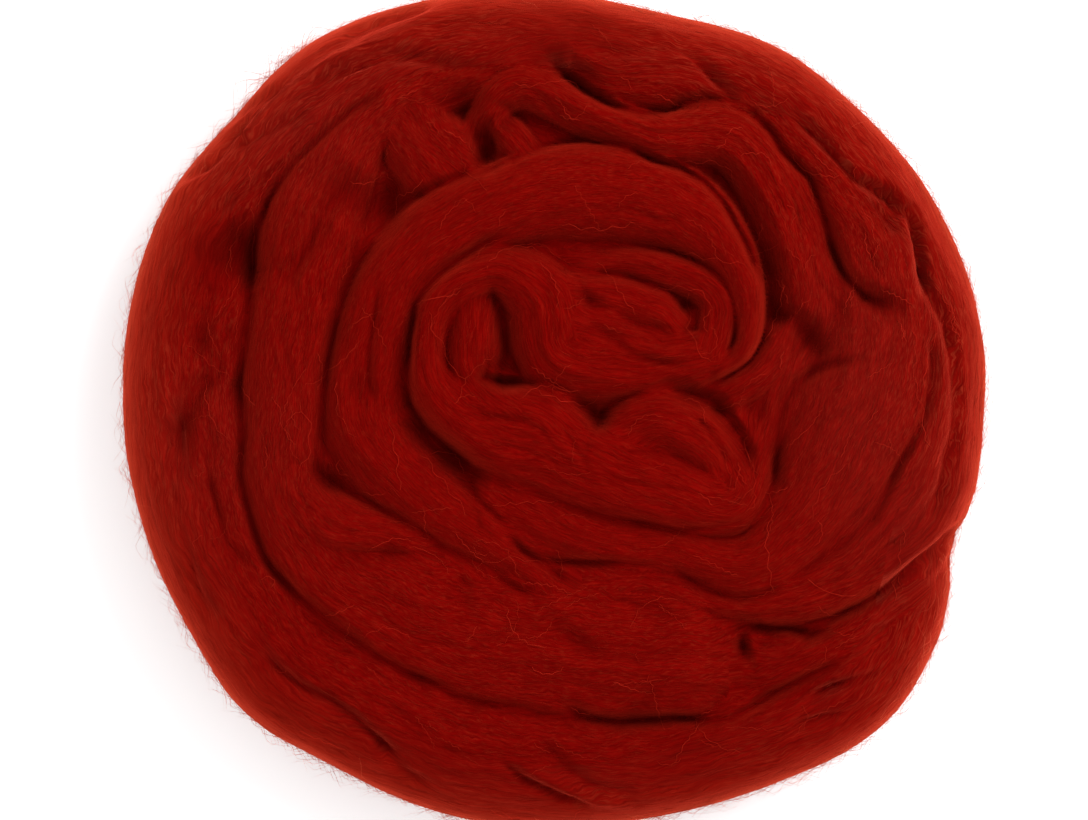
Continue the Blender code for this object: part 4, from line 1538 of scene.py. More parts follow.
def read_grid(values: Array, i: Array, k: Array) -> Array:
    """Values of a grid's points, blended between the four round each place.

    Args:
        values: a grid whose first two axes are the points.
        i: place along the first axis.
        k: place along the second.

    Returns:
        The blended values.
    """
    i = np.clip(i, 0, values.shape[0] - 1.001)
    k = np.clip(k, 0, values.shape[1] - 1.001)
    i0, k0 = i.astype(int), k.astype(int)
    fi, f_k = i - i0, k - k0
    if values.ndim == 3:
        fi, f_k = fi[..., None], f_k[..., None]
    low = values[i0, k0] * (1 - fi) + values[i0 + 1, k0] * fi
    high = values[i0, k0 + 1] * (1 - fi) + values[i0 + 1, k0 + 1] * fi
    return low * (1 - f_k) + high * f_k


@dataclass
class NestSkin:
    """The nest's closed skin.

    The crown is a disc inside the rim's middle line. From its edge, rays in upright planes fan
    from straight up to straight down and find the flank, and rings close the underside.

    Attributes:
        nest: the lengths' sizes.
        cells: cells along one side of the crown's grid.
        flank_rows: rows of the flank.
        under_rows: rings of the underside.
        middle: height that the rays start at.
        blend: how softly the lengths join.
        share_blend: how softly their streaks and pleats change over.
        filling: height of the filling between the lengths, near the rim.
        dome: how much higher it is in the middle.
        dome_radius: how far out it is higher.
        calm: how much the pleats flatten where the flank stands upright.
        under_roof: greatest height of the underside.
        waist: height below which the flank gets less painted glow from light coming through.
        shade_steps: how many times the crown is evened out to find where painted shade goes.
        shade_depth: depth of a dip that gets the full painted shade.
    """

    nest: WoundNest
    pleats: Pleats = field(default_factory=Pleats)
    cells: int = 300
    flank_rows: int = 54
    under_rows: int = 14
    middle: float = 20 * MM
    blend: float = 4.0 * MM
    share_blend: float = 0.7 * MM
    filling: float = 38 * MM
    dome: float = 9.5 * MM
    dome_radius: float = 85 * MM
    calm: float = 0.65
    under_roof: float = 9 * MM
    waist: float = 29 * MM
    shade_steps: int = 60
    shade_depth: float = 5.5 * MM

    lengths: List[Length] = field(init=False)
    disc: Disc = field(init=False)
    points: Array = field(init=False)
    normals: Array = field(init=False)
    around: Array = field(init=False)
    along: Array = field(init=False)
    share: Array = field(init=False)
    crown_quads: Array = field(init=False)
    side_quads: Array = field(init=False)
    fan: Array = field(init=False)
    crown_grid: Array = field(init=False)
    flank_grid: Array = field(init=False)
    painted_shade: Array = field(init=False)
    flow: Array = field(init=False)

    def __post_init__(self) -> None:
        """Work out the crown, the flank and the underside, and join them."""
        rim = self.nest.lower_rim()
        self.lengths = [*self.nest.upper(), rim, self.nest.lower_spiral()]
        self.disc = Disc(self.cells, *self._middle_line(rim.course.rows))
        x, y = (part.ravel() for part in self.disc.grid())
        crown = Bundle(self.lengths, x, y)
        rise = np.clip(1 - (x * x + y * y) / self.dome_radius**2, 0.0, 1.0)
        raw = crown.top(self.blend, self.filling + self.dome * rise)
        shares = crown.shares(raw, self.share_blend)
        z = raw + self.pleats.total(crown, raw, shares) - pressed(x, y)
        self._set_flow(crown, shares)
        edge = self.disc.edge()
        flank_xyz, flank = self._flank(x[edge], y[edge], raw[edge])
        under_xyz, under = self._underside(x[edge], y[edge])
        self.points = np.concatenate([np.stack([x, y, z], axis=1), flank_xyz, under_xyz])
        zones = [(crown, raw, shares)]
        for bundle, height in ((flank, flank_xyz[:, 2]), (under, under_xyz[:, 2])):
            zones.append((bundle, height, bundle.shares(height, self.share_blend)))
        self._set_lay(zones)
        self._set_faces(edge)
        self._set_normals()
        self._set_grids(edge)

    @staticmethod
    def _middle_line(rows: Array, bins: int = 180) -> Tuple[Array, Array]:
        """Radius of the rim's middle line at even bearings.

        Each bearing takes the mean radius of the rows within half a bin, and then the mean over
        nine bins, weighted by a raised cosine.

        Args:
            rows: the lower rim turn's rows.
            bins: how many bearings.

        Returns:
            (bearings, radii).
        """
        bearing = np.arctan2(rows[:, 1], rows[:, 0])
        number = ((bearing + math.pi) / TAU * bins).astype(int) % bins
        count = np.bincount(number, minlength=bins)
        mean = np.bincount(number, np.hypot(rows[:, 0], rows[:, 1]), bins) / np.maximum(count, 1)
        middle = (np.arange(bins) + 0.5) / bins * TAU - math.pi
        mean = np.interp(middle, middle[count > 0], mean[count > 0], period=TAU)
        weight = 1 + np.cos(np.linspace(-0.9, 0.9, 9) * math.pi)
        radii = sum(w * np.roll(mean, k - 4) for k, w in enumerate(weight)) / weight.sum()
        return middle, radii

    def _flank(self, x: Array, y: Array, top: Array) -> Tuple[Array, Bundle]:
        """Points of the flank, below the crown's edge.

        Along each ray the lengths' gaps join as -k log(sum exp(-gap / k)), and the skin is where
        that last turns from inside to outside. Rays that reach the table first end there.

        Args:
            x: places of the crown's edge.
            y: their other coordinate.
            top: height of the crown's edge before pleats.

        Returns:
            (points, bundle) of the flank's rows below the first, row by row.
        """
        bearing, radius = np.arctan2(y, x), np.hypot(x, y)
        step = 0.5 * MM
        out = np.arange(0.0, 42 * MM, step)
        wide = (radius[:, None] + out).ravel()
        cos, sin = np.cos(bearing), np.sin(bearing)
        field_x, field_y = wide * np.repeat(cos, len(out)), wide * np.repeat(sin, len(out))
        lines = Bundle(self.lengths, field_x, field_y)
        keep = [k for k in range(len(self.lengths)) if (lines.parts["q"][k] < 1.2).any()]
        shape = (len(keep), len(x), len(out))
        parts = {key: lines.parts[key][keep].reshape(shape) for key in ("q", "a", "b", "c")}
        power = lines.power[keep][:, None]
        pairs = [(keep.index(a), keep.index(b)) for a, b in lines.pairs if a in keep and b in keep]
        t = np.arange(4 * MM, 38 * MM, step)
        turns = np.linspace(TAU / 4, -TAU / 4, self.flank_rows + 1)
        reach = np.empty((len(turns), len(x)))
        who = np.arange(len(x))
        for row, turn in enumerate(turns):
            place = np.clip(t * math.cos(turn) / step, 0, len(out) - 1.001)
            low = place.astype(int)
            part = place - low
            q, a, b, c = (
                values[:, :, low] * (1 - part) + values[:, :, low + 1] * part for values in parts.values()
            )
            up = np.abs(self.middle + t * math.sin(turn) - c) / b
            gap = ((q**power + up**power) ** (1 / power) - 1) * np.minimum(a, b)
            gap = -fold(-gap, pairs)
            near = gap.min(axis=0)
            joined = near - self.blend * np.log(np.exp((near - gap) / self.blend).sum(axis=0))
            inside = joined < 0
            last = len(t) - 1 - inside[:, ::-1].argmax(axis=1)
            last = np.clip(last, 0, len(t) - 2)
            here, after = joined[who, last], joined[who, last + 1]
            reach[row] = t[last] + step * np.clip(here / (here - after - 1e-9), 0.0, 1.0)
        fade = np.clip(1 - np.arange(len(turns)) / (0.2 * len(turns)), 0.0, 1.0) ** 2
        reach += fade[:, None] * (top - self.middle - reach[0])[None]
        reach = self._even_out(reach)
        down = np.sin(turns)[:, None]
        limit = np.where(down < -0.05, self.middle / np.maximum(-down, 0.05), 1.0)
        reach = np.minimum(reach, limit)

        def points(reach: Array) -> Array:
            """Points at the given reach along each ray."""
            flat = radius + reach * np.cos(turns)[:, None]
            return np.stack([flat * cos, flat * sin, self.middle + reach * down], axis=2)[1:].reshape(-1, 3)

        first = points(reach)
        bundle = Bundle(self.lengths, first[:, 0], first[:, 1])
        shares = bundle.shares(first[:, 2], self.share_blend)
        push = self.pleats.total(bundle, first[:, 2], shares) * np.clip(first[:, 2] / (4 * MM), 0.0, 1.0)
        push *= np.repeat(1 - self.calm * np.cos(turns[1:]) ** 2, len(x))
        push -= pressed(first[:, 0], first[:, 1]) * np.repeat(np.clip(down[1:, 0] + 0.2, 0.0, 1.0), len(x))
        push -= side_folds(np.arctan2(first[:, 1], first[:, 0]), first[:, 2])
        reach[1:] = np.minimum(reach[1:] + push.reshape(reach[1:].shape), limit[1:])
        return points(reach), bundle

    @staticmethod
    def _even_out(reach: Array, spike: int = 9, slit: int = 6) -> Array:
        """Take narrow spikes and slits out of the reach.

        The least and then the greatest value over nearby columns takes out spikes, the other way
        round fills slits, and a mean over three columns rounds what is left.

        Args:
            reach: (rows, columns) reach of each ray, all round.
            spike: half width of the widest spike taken out, in columns.
            slit: half width of the widest slit filled.

        Returns:
            The evened reach.
        """

        def over(values: Array, choose: np.ufunc, span: int) -> Array:
            """The least or greatest value within a span of columns."""
            return choose.reduce([np.roll(values, k, axis=1) for k in range(-span, span + 1)])

        opened = over(over(reach, np.minimum, spike), np.maximum, spike)
        closed = over(over(opened, np.maximum, slit), np.minimum, slit)
        return (np.roll(closed, 1, axis=1) + 2 * closed + np.roll(closed, -1, axis=1)) / 4

    def _underside(self, x: Array, y: Array) -> Tuple[Array, Bundle]:
        """Points of the underside: rings that shrink evenly to a middle point.

        Args:
            x: places of the crown's edge, which lies above the outermost ring.
            y: their other coordinate.

        Returns:
            (points, bundle) of the rings below the first, then the middle point.
        """
        share = 1 - np.arange(1, self.under_rows) / self.under_rows
        flat_x = np.append((share[:, None] * x).ravel(), 0.0)
        flat_y = np.append((share[:, None] * y).ravel(), 0.0)
        bundle = Bundle(self.lengths, flat_x, flat_y)
        z = bundle.bottom(self.blend, self.under_roof)
        return np.stack([flat_x, flat_y, z], axis=1), bundle

    def _set_flow(self, bundle: Bundle, shares: Array) -> None:
        """Set the strand's direction at the crown's points, as cos and sin of twice its angle.

        Args:
            bundle: how the points lie to the lengths.
            shares: the lengths' shares there.
        """
        angle = np.arctan2(bundle.parts["dy"], bundle.parts["dx"])
        double = np.stack([(shares * wave(2 * angle)).sum(axis=0) for wave in (np.cos, np.sin)], axis=1)
        self.flow = double.reshape(self.cells + 1, self.cells + 1, 2)

    def _set_lay(self, zones: Sequence[Tuple[Bundle, Array, Array]]) -> None:
        """Set the millimetres round and along every length at every point, and the shares.

        Args:
            zones: (bundle, heights, shares) of crown, flank and underside.
        """
        around, along, shares = [], [], []
        for bundle, z, share in zones:
            half = (bundle.parts["a"] + bundle.parts["b"]) / 2
            around.append((bundle.angles(z) * half / MM).astype(np.float32))
            along.append((bundle.parts["s"] / MM).astype(np.float32))
            shares.append(share.astype(np.float32))
        self.around = np.concatenate(around, axis=1)
        self.along = np.concatenate(along, axis=1)
        self.share = np.concatenate(shares, axis=1)

    def _set_faces(self, edge: Array) -> None:
        """Set the quads of the crown, those of the rest, and the fan round the underside's middle.

        Args:
            edge: numbers of the crown's outermost points.
        """
        side = self.cells + 1
        number = np.arange(side * side).reshape(side, side)
        self.crown_quads = np.stack(
            [number[:-1, :-1], number[1:, :-1], number[1:, 1:], number[:-1, 1:]], axis=2
        ).reshape(-1, 4)
        rings = self.flank_rows + self.under_rows - 1
        below = side * side + np.arange(rings * len(edge)).reshape(rings, len(edge))
        loop = np.concatenate([edge[None], below])
        after = np.roll(loop, -1, axis=1)
        self.side_quads = np.stack([loop[:-1], loop[1:], after[1:], after[:-1]], axis=2).reshape(-1, 4)
        pole = len(self.points) - 1
        self.fan = np.stack([loop[-1], np.full(len(edge), pole), after[-1]], axis=1)

    def _set_normals(self) -> None:
        """Set the normals of the points: the sum of the cross products of the faces round each."""
        total = np.zeros_like(self.points)
        quads = np.concatenate([self.crown_quads, self.side_quads])
        corner = self.points[quads]
        face = np.cross(corner[:, 2] - corner[:, 0], corner[:, 3] - corner[:, 1])
        for axis in range(3):
            for k in range(4):
                total[:, axis] += np.bincount(quads[:, k], face[:, axis], len(total))
        total[-1] = (0.0, 0.0, -1.0)
        self.normals = total / (np.linalg.norm(total, axis=1, keepdims=True) + 1e-15)

    def _set_grids(self, edge: Array) -> None:
        """Set crown and flank as grids of points and normals, and the crown's painted shade.

        The painted shade is how far the crown lies below itself evened out, over shade_depth.

        Args:
            edge: numbers of the crown's outermost points.
        """
        side = self.cells + 1
        both = np.concatenate([self.points, self.normals], axis=1)
        self.crown_grid = both[: side * side].reshape(side, side, 6)
        rows = both[side * side : side * side + self.flank_rows * len(edge)]
        flank = np.concatenate([both[edge][None], rows.reshape(self.flank_rows, len(edge), 6)])
        self.flank_grid = np.concatenate([flank, flank[:, :1]], axis=1)
        # Painted shade: darker where the crown lies below its evened-out self.
        around = self.crown_grid[..., 2]
        for _ in range(self.shade_steps):
            wide = np.pad(around, 1, mode="edge")
            around = (wide[1:-1, :-2] + wide[1:-1, 2:] + wide[:-2, 1:-1] + wide[2:, 1:-1]) / 4
        line = np.abs(np.linspace(-1.0, 1.0, side))
        border = np.clip((1 - np.maximum(line[:, None], line[None])) / 0.06, 0.0, 1.0)
        self.painted_shade = border * np.clip((around - self.crown_grid[..., 2]) / self.shade_depth, 0.0, 1.0)

    def corners(self, faces: Array) -> Array:
        """The "lay" value of each corner of faces, from the length that the whole face lies on.

        Args:
            faces: the points of each face.

        Returns:
            (round, along, seed) of each corner.
        """
        owner = self.share[:, faces].mean(axis=2).argmax(axis=0)
        around = self.around[owner[:, None], faces]
        along = self.along[owner[:, None], faces]
        seeds = np.array([one.seed for one in self.lengths], np.float32) * 3.7
        return np.stack([around, along, np.broadcast_to(seeds[owner][:, None], around.shape)], axis=2)

    def build(self, name: str, quads: Array, fan: Optional[Array], finish: bpy.types.Material) -> int:
        """Make one piece of the skin.

        Args:
            name: the piece's name.
            quads: its quads.
            fan: its triangles, if any.
            finish: its material.

        Returns:
            How many triangles it has.
        """
        used = np.unique(np.concatenate([quads.ravel(), [] if fan is None else fan.ravel()]).astype(int))
        new = np.zeros(len(self.points), int)
        new[used] = np.arange(len(used))
        shell = Shell(name)
        shell.add(self.points[used], new[quads], None if fan is None else new[fan])
        lay = self.corners(quads).reshape(-1, 3)
        if fan is not None:
            lay = np.concatenate([lay, self.corners(fan).reshape(-1, 3)])
        place(shell.build(finish, self.normals[used], lay, self.marks(self.points[used])))
        return shell.triangle_count()

    def marks(self, points: Array) -> Dict[str, Array]:
        """Where points lie in the nest, and the light and shade painted on them.

        Args:
            points: (n, 3) points.

        Returns:
            "inset", millimetres in from the nest's outline, seen from above; "edge", the share
            (0.73 + 0.22 c) exp(-(inset + 0.22 low) / (3.8 + 0.9 c)) of painted glow, standing in for light
            that comes through the thin edge, low being millimetres below the waist and c the cosine of the
            bearing from SHADY_SIDE; the outline glow, exp(-inset - 0.2 low), a paler painted glow;
            the painted shade, how far the crown lies below its own surroundings there, from 0 to 1, plus
            the shade patches; and the painted sheen of the sheen patches. Each patch gives
            share exp(-(d / reach)^2), d being the distance from it, and the patches add up.
        """
        flank = self.flank_grid[:, :-1]
        reach = np.hypot(flank[..., 0], flank[..., 1]).max(axis=0)
        bearing = np.arctan2(flank[0, :, 1], flank[0, :, 0])
        x, y = points[:, 0], points[:, 1]
        around = np.arctan2(y, x)
        outline = np.interp(around, bearing, reach, period=TAU)
        inset = np.maximum(outline - np.hypot(x, y), 0.0) / MM
        # Painted glow at the rim, stronger on the side away from the window and fading below the waist.
        low = np.maximum(self.waist - points[:, 2], 0.0) / MM
        away = np.cos(around - SHADY_SIDE)
        edge = (0.73 + 0.22 * away) * np.exp(-(inset + 0.22 * low) / (3.8 + 0.9 * away))
        # Painted shade in the crown's dips and in the shade patches; painted sheen in the sheen patches.
        painted_shade = np.where(np.hypot(x, y) < self.disc.radius(around), self.disc.read(self.painted_shade, x, y), 0.0)
        painted_sheen, patch_shade = (
            sum(p.share * np.exp(-((x / MM - p.x) ** 2 + (y / MM - p.y) ** 2) / p.reach**2) for p in patches)
            for patches in (SHEEN_PATCHES, SHADE_PATCHES)
        )
        # A paler painted glow right at the outline.
        fringe = np.exp(-inset - 0.2 * low)
        painted_shade = np.minimum(painted_shade + patch_shade, 1.0)
        return {"inset": inset, "edge": edge, "fringe": fringe, "painted_shade": painted_shade, "painted_sheen": painted_sheen}

    @property
    def columns(self) -> int:
        """Columns of the flank's grid, all round."""
        return self.flank_grid.shape[1] - 1

    @property
    def column(self) -> float:
        """Mean distance round the rim from column to column, in metres."""
        return TAU * RIM_RADIUS * MM / self.columns

    def on_crown(self, x: Array, y: Array) -> Tuple[Array, Array]:
        """Points and normals of the crown over places.

        Args:
            x: places, of any shape.
            y: their other coordinate.

        Returns:
            (points, normals), with a last axis of three.
        """
        found = self.disc.read(self.crown_grid, x, y)
        return np.stack([x, y, found[..., 2]], axis=-1), found[..., 3:]

    def on_rim(self, turn: Array, drop: Array) -> Tuple[Array, Array]:
        """Points and normals round the rim.

        Args:
            turn: place round the flank's grid, in columns.
            drop: rows below the crown's edge, or below 0 for millimetres inside it.

        Returns:
            (points, normals), with a last axis of three.
        """
        turn = np.mod(turn, self.columns)
        flank = read_grid(self.flank_grid, np.maximum(drop, 0.0), turn)
        edge = read_grid(self.flank_grid, np.zeros_like(drop), turn)
        radius = np.hypot(edge[..., 0], edge[..., 1])
        share = 1 + np.minimum(drop, 0.0) * MM / radius
        points, normals = self.on_crown(edge[..., 0] * share, edge[..., 1] * share)
        inner = (drop < 0)[..., None]
        return np.where(inner, points, flank[..., :3]), np.where(inner, normals, flank[..., 3:])


# --- Fibres ---


def fibre_tubes(shell: Shell, path: Array, radius: Array, facing: Array) -> None:
    """Add closed three-sided tubes along many paths at once.

    At each inner point of a path three corners stand round it, a third of a turn apart; its
    first and last points are the tips.

    Args:
        shell: what the tubes are added to.
        path: (n, k, 3) points.
        radius: (n, k) radii; the first and last don't count.
        facing: (n, k, 3) rough outward directions.
    """
    n, k, _ = path.shape
    ahead = np.gradient(path, axis=1)
    ahead /= np.linalg.norm(ahead, axis=2, keepdims=True) + 1e-12
    across = np.cross(ahead, facing)
    across /= np.linalg.norm(across, axis=2, keepdims=True) + 1e-12
    out = np.cross(across, ahead)
    turn = (TAU * np.arange(3) / 3 + TAU / 4)[None, None, :, None]
    ring = np.cos(turn) * across[:, 1:-1, None] + np.sin(turn) * out[:, 1:-1, None]
    inner = path[:, 1:-1, None] + radius[:, 1:-1, None, None] * ring
    rings = k - 2
    points = np.concatenate([inner.reshape(n, rings * 3, 3), path[:, :1], path[:, -1:]], axis=1)
    row, side = np.meshgrid(np.arange(rings - 1), np.arange(3), indexing="ij")
    beside = (side + 1) % 3
    quads = np.stack([row * 3 + side, row * 3 + beside, row * 3 + 3 + beside, row * 3 + 3 + side], axis=2)
    side = np.arange(3)
    beside = (side + 1) % 3
    last = (rings - 1) * 3
    head = np.stack([beside, side, np.full(3, rings * 3)], axis=1)
    tail = np.stack([last + side, last + beside, np.full(3, rings * 3 + 1)], axis=1)
    base = (np.arange(n) * (rings * 3 + 2))[:, None, None]
    shell.add(points, quads.reshape(1, -1, 4) + base, np.concatenate([head, tail])[None] + base)


@dataclass(frozen=True)
class Lie:
    """How a kind of fibre lies.

    Attributes:
        knots: points along one fibre, tips included.
        thick: radius of a fibre, in metres.
        short: shortest fibre, in metres.
        long: longest fibre, in metres.
        stray: how far its heading leaves the strand's, in radians.
        bend: how far its heading turns over its length, in radians.
        crimp: how far its heading waves, in radians.
        wave: length of one wave, in metres.
        lift: height of its middle above the skin, in metres.
        sink: how deep its tips lie under the skin, in metres.
    """

    knots: int = 8
    thick: float = 0.05 * MM
    short: float = 4 * MM
    long: float = 13 * MM
    stray: float = 0.16
    bend: float = 0.26
    crimp: float = 0.20
    wave: float = 2.6 * MM
    lift: float = 0.13 * MM
    sink: float = 0.12 * MM


@dataclass
class FibreLayer:
    """Lays fibres over the skin.

    Attributes:
        skin: the skin they lie on.
        shell: what they are added to.
        rng: source of random numbers.
    """

    skin: NestSkin
    shell: Shell
    rng: np.random.Generator

    def over_crown(self, lie: Lie, count: int) -> None:
        """Lay fibres that follow the strand over the crown.

        Each starts at a random place and steps along the strand's direction, plus its own turns.

        Args:
            lie: how they lie.
            count: how many to start; those that leave the crown are left out.
        """
        reach = self.skin.disc.radii.max()
        x, y = self.rng.uniform(-reach, reach, (2, count))
        step, turns = self._draw(lie, count)
        heading = self._strand(x, y)
        heading = np.where(self.rng.random(count) < 0.5, heading, heading + math.pi)
        xs, ys = [x], [y]
        for turn in turns[1:]:
            x, y = x + step * np.cos(heading + turn), y + step * np.sin(heading + turn)
            xs.append(x)
            ys.append(y)
            fresh = self._strand(x, y)
            heading = np.where(np.cos(fresh - heading) < 0, fresh + math.pi, fresh)
        px, py = np.stack(xs, axis=1), np.stack(ys, axis=1)
        inside = (np.hypot(px, py) < self.skin.disc.radius(np.arctan2(py, px))).all(axis=1)
        self._lay(lie, *self.skin.on_crown(px[inside], py[inside]))

    def round_rim(self, lie: Lie, count: int, lowest: float = 0.8) -> None:
        """Lay fibres that run round the rim, from inside the crown's edge to low on the flank.

        Args:
            lie: how they lie.
            count: how many to lay.
            lowest: how far down the flank they start, as a share of its rows.
        """
        step, angles = self._draw(lie, count)
        turn = self.rng.uniform(0.0, self.skin.columns, count)
        drop = self.rng.uniform(-7.0, lowest * self.skin.flank_rows, count)
        way = np.where(self.rng.random(count) < 0.5, 1.0, -1.0)
        turns, drops = [turn], [drop]
        for angle in angles[1:]:
            turn = turn + way * step * np.cos(angle) / self.skin.column
            drop = drop + step * np.sin(angle) / ROW_DROP
            turns.append(turn)
            drops.append(drop)
        self._lay(lie, *self.skin.on_rim(np.stack(turns, axis=1), np.stack(drops, axis=1)))

    def fuzz(self, lie: Lie, count: int, stand: float, start: Tuple[float, float] = (0.0, 1.0)) -> None:
        """Grow fibres that stand off the rim.

        A fibre leaves the skin as rise = stand * size * t^1.6 while it runs round the rim and
        curls up or down. Nearly half of them stand off in loops, as
        rise = 0.6 stand * size * sin(0.92 pi t).

        Args:
            lie: how they lie.
            count: how many to grow.
            stand: how steeply they leave the skin, 1 for as far out as along.
            start: where round the rim they start, as shares of a turn from -45 degrees.
        """
        rng = self.rng
        size = lie.short + (lie.long - lie.short) * rng.random(count) ** 2.5
        t = np.linspace(0.0, 1.0, lie.knots)[None]
        turn = rng.uniform(start[0] * self.skin.columns, start[1] * self.skin.columns, count)[:, None]
        drop = rng.uniform(0.26, 0.70, count)[:, None] * self.skin.flank_rows
        way = np.where(rng.random(count) < 0.5, 1.0, -1.0)[:, None]
        steep = stand * rng.uniform(0.15, 1.5, count)[:, None]
        wave = lie.crimp * np.sin(TAU * t * size[:, None] / lie.wave + rng.uniform(0, TAU, count)[:, None])
        along = size[:, None] * t / np.sqrt(1 + steep**2)
        turn = turn + way * (along + 0.6 * MM * wave * t) / self.skin.column
        stray = rng.normal(0.0, lie.stray, count)[:, None]
        curl = stray * t + rng.normal(0.0, lie.bend, count)[:, None] * t**2
        drop = drop + size[:, None] * curl / ROW_DROP
        loops = rng.random(count)[:, None] < 0.45
        form = np.where(loops, 0.6 * np.sin(0.92 * math.pi * t), t**1.6)
        rise = steep * size[:, None] * form + 0.7 * MM * wave * t - 0.15 * MM
        path, normal = self.skin.on_rim(turn, drop)
        smooth = normal[:, :1] * (1 - t[..., None]) + normal * t[..., None]
        path = path + smooth * rise[..., None]
        path[..., 2] = np.maximum(path[..., 2], TABLE_GAP)
        radius = lie.thick * rng.uniform(0.7, 1.3, count)[:, None] * (1.1 - 0.6 * t)
        fibre_tubes(self.shell, path, radius, normal)

    def _draw(self, lie: Lie, count: int) -> Tuple[Array, Array]:
        """Draw fibres that follow the strand.

        A fibre's heading turns from the strand's by stray + bend (t - 0.5) + crimp sin(wave),
        with its own stray and bend, and its own start of the wave.

        Args:
            lie: how they lie.
            count: how many to draw.

        Returns:
            (step, turns): each fibre's distance from knot to knot, and its turn at each knot, a
            row for each knot.
        """
        rng = self.rng
        size = lie.short + (lie.long - lie.short) * rng.random(count) ** 1.5
        t = np.linspace(0.0, 1.0, lie.knots)[:, None]
        stray, bend = rng.normal(0.0, lie.stray, count), rng.normal(0.0, lie.bend, count)
        wave = np.sin(TAU * t * size / lie.wave + rng.uniform(0.0, TAU, count))
        return size / (lie.knots - 1), stray + bend * (t - 0.5) + lie.crimp * wave

    def _strand(self, x: Array, y: Array) -> Array:
        """Heading of the strand at places, up to half a turn."""
        double = self.skin.disc.read(self.skin.flow, x, y)
        return np.arctan2(double[..., 1], double[..., 0]) / 2

    def _lay(self, lie: Lie, path: Array, normal: Array) -> None:
        """Lift paths off the skin and turn them into tubes of slightly uneven thickness.

        The height over the skin is 0.3 to 1.5 times lift sin(pi t), less sink.

        Args:
            lie: how they lie.
            path: (n, knots, 3) points on the skin.
            normal: the skin's normals there.
        """
        bow = lie.lift * np.sin(math.pi * np.linspace(0.0, 1.0, lie.knots))
        rise = self.rng.uniform(0.3, 1.5, len(path))[:, None] * bow - lie.sink
        path = path + normal * rise[..., None]
        path[..., 2] = np.maximum(path[..., 2], TABLE_GAP)
        radius = lie.thick * self.rng.uniform(0.7, 1.3, len(path))[:, None] * np.ones((1, lie.knots))
        fibre_tubes(self.shell, path, radius, normal)


# --- Studio ---


@dataclass(frozen=True)
class Studio:
    """A white table, soft light and a camera that looks straight down.

    Attributes:
        scale: picture pixels for each millimetre at the top of the nest.
        focal: the lens, in millimetres on a 36 mm sensor.
        right: how far right of the picture's middle the nest lies, in pixels.
        picture: size of the picture, in pixels.
        focus: height at which the scale holds, in metres.
        sky: brightness of the room.
        lamp: power of the window light, in watts.
    """

    scale: float = 3.6
    focal: float = 150.0
    right: float = 10.0
    picture: Tuple[int, int] = (1088, 820)
    focus: float = 30.0 * MM
    sky: float = 1.09
    lamp: float = 17.0

    def floor(self) -> None:
        """Lay the table top."""
        corners = 3.0 * np.array([(-1.0, -1.0, 0.0), (1.0, -1.0, 0.0), (1.0, 1.0, 0.0), (-1.0, 1.0, 0.0)])
        shell = Shell("table_top")
        shell.add(corners, np.array([[0, 1, 2, 3]]))
        shell.build(PaleFloor().material())

    def light(self) -> None:
        """Hang a bright even sky and one broad soft lamp to the upper right."""
        scene = bpy.context.scene
        world = bpy.data.worlds.new("soft_room")
        world.use_nodes = True
        sky = world.node_tree.nodes["Background"].inputs
        sky["Color"].default_value = (1.0, 1.0, 1.0, 1.0)
        sky["Strength"].default_value = self.sky
        scene.world = world
        lamp = bpy.data.lights.new("window", "AREA")
        lamp.shape = "RECTANGLE"
        lamp.size = lamp.size_y = 0.9
        lamp.energy = self.lamp
        holder = bpy.data.objects.new("window", lamp)
        holder.location = (0.80, 0.62, 1.0)
        holder.rotation_euler = (-holder.location).to_track_quat("-Z", "Y").to_euler()
        scene.collection.objects.link(holder)
        scene.view_settings.view_transform = "Standard"

    def camera(self) -> None:
        """Set the camera over the nest, with the picture's upper edge towards +Y."""
        away = self.picture[0] / self.scale * MM * self.focal / 36.0
        data = bpy.data.cameras.new("overhead")
        data.lens = self.focal
        data.sensor_width = 36.0
        data.clip_end = 20.0
        camera = bpy.data.objects.new("overhead", data)
        camera.location = (-self.right / self.scale * MM, 0.0, self.focus + away)
        bpy.context.scene.collection.objects.link(camera)
        bpy.context.scene.camera = camera


def place(piece: bpy.types.Object) -> None:
    """Let a piece ride on the nest's body and stand in for the wound solid.

    Args:
        piece: the piece.
    """
    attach(piece, "root")
    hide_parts("roving_coil")


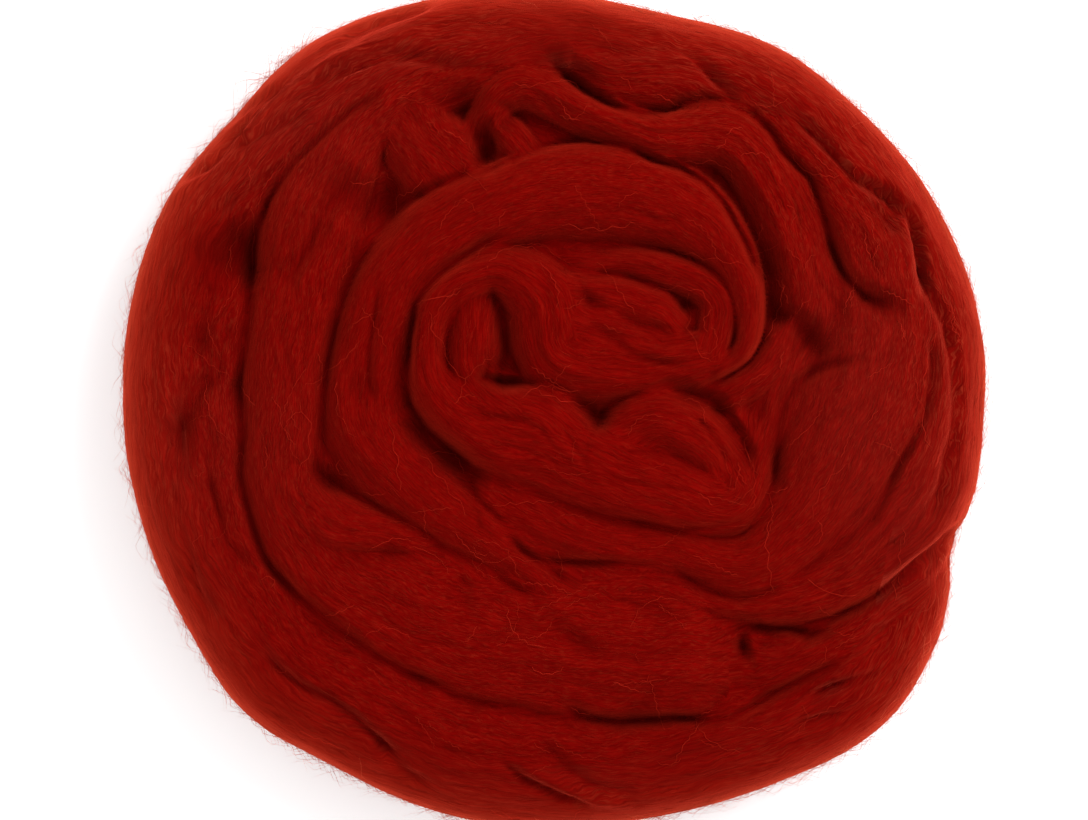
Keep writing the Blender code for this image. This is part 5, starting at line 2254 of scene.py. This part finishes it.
def main() -> None:
    """Build the nest's skin, its fibres and the studio."""
    logging.basicConfig(level=logging.INFO, format="%(message)s")
    studio = Studio()
    studio.camera()
    studio.light()
    studio.floor()

    skin = NestSkin(WoundNest())
    wool = CombedWool().material()
    total = skin.build("crown", skin.crown_quads, None, wool)
    log.info("crown: %d triangles", total)
    side_wool = CombedWool("side_wool", run=26.0, sheen=0.6, tint=(1.0, 0.085, 0.045)).material()
    flank = skin.build("flank_and_base", skin.side_quads, skin.fan, side_wool)
    log.info("flank_and_base: %d triangles", flank)
    total += flank

    thin = Lie(thick=0.035 * MM)
    stray = Lie(knots=14, short=6 * MM, long=26 * MM, stray=0.6, bend=1.2, crimp=0.5, lift=0.9 * MM)
    for name, finish, lie, crown, rim, seed in (
        ("fibres_body", SingleFibre("body_fibre", Shade.BODY, 1.15), Lie(), 3300, 1500, 1),
        ("fibres_bright", SingleFibre("bright_fibre", Shade.BRIGHT, 1.1), Lie(), 4200, 1900, 2),
        ("fibres_pale", SingleFibre("pale_fibre", Shade.PALE, 0.9), thin, 2600, 1300, 3),
        ("fibres_stray", SingleFibre("stray_fibre", Shade.PALE, 1.3), stray, 260, 160, 4),
    ):
        shell = Shell(name)
        layer = FibreLayer(skin, shell, np.random.default_rng(seed))
        layer.over_crown(lie, crown)
        layer.round_rim(lie, rim)
        place(shell.build(finish.material(), marks=skin.marks(np.concatenate(shell.points))))
        total += shell.triangle_count()
        log.info("%s: %d triangles", name, shell.triangle_count())

    shell = Shell("rim_fuzz")
    fine = Lie(6, 0.040 * MM, 2 * MM, 10 * MM, stray=0.30, bend=0.45, crimp=0.7, wave=3.6 * MM)
    FibreLayer(skin, shell, np.random.default_rng(5)).fuzz(fine, 8000, 0.5)
    loops = Lie(9, 0.045 * MM, 7 * MM, 15 * MM, stray=0.25, bend=0.35, crimp=0.5, wave=6 * MM)
    FibreLayer(skin, shell, np.random.default_rng(6)).fuzz(loops, 80, 0.70, start=(0.470, 0.490))
    # The fuzz's own red, brightened as a painted glow of light shining through the hairs.
    place(shell.build(SingleFibre("rim_fibre_glow", Shade.FUZZ_GLOW).material()))
    total += shell.triangle_count()
    log.info("rim_fuzz: %d triangles; %d in all", shell.triangle_count(), total)


if __name__ == "__main__":
    main()
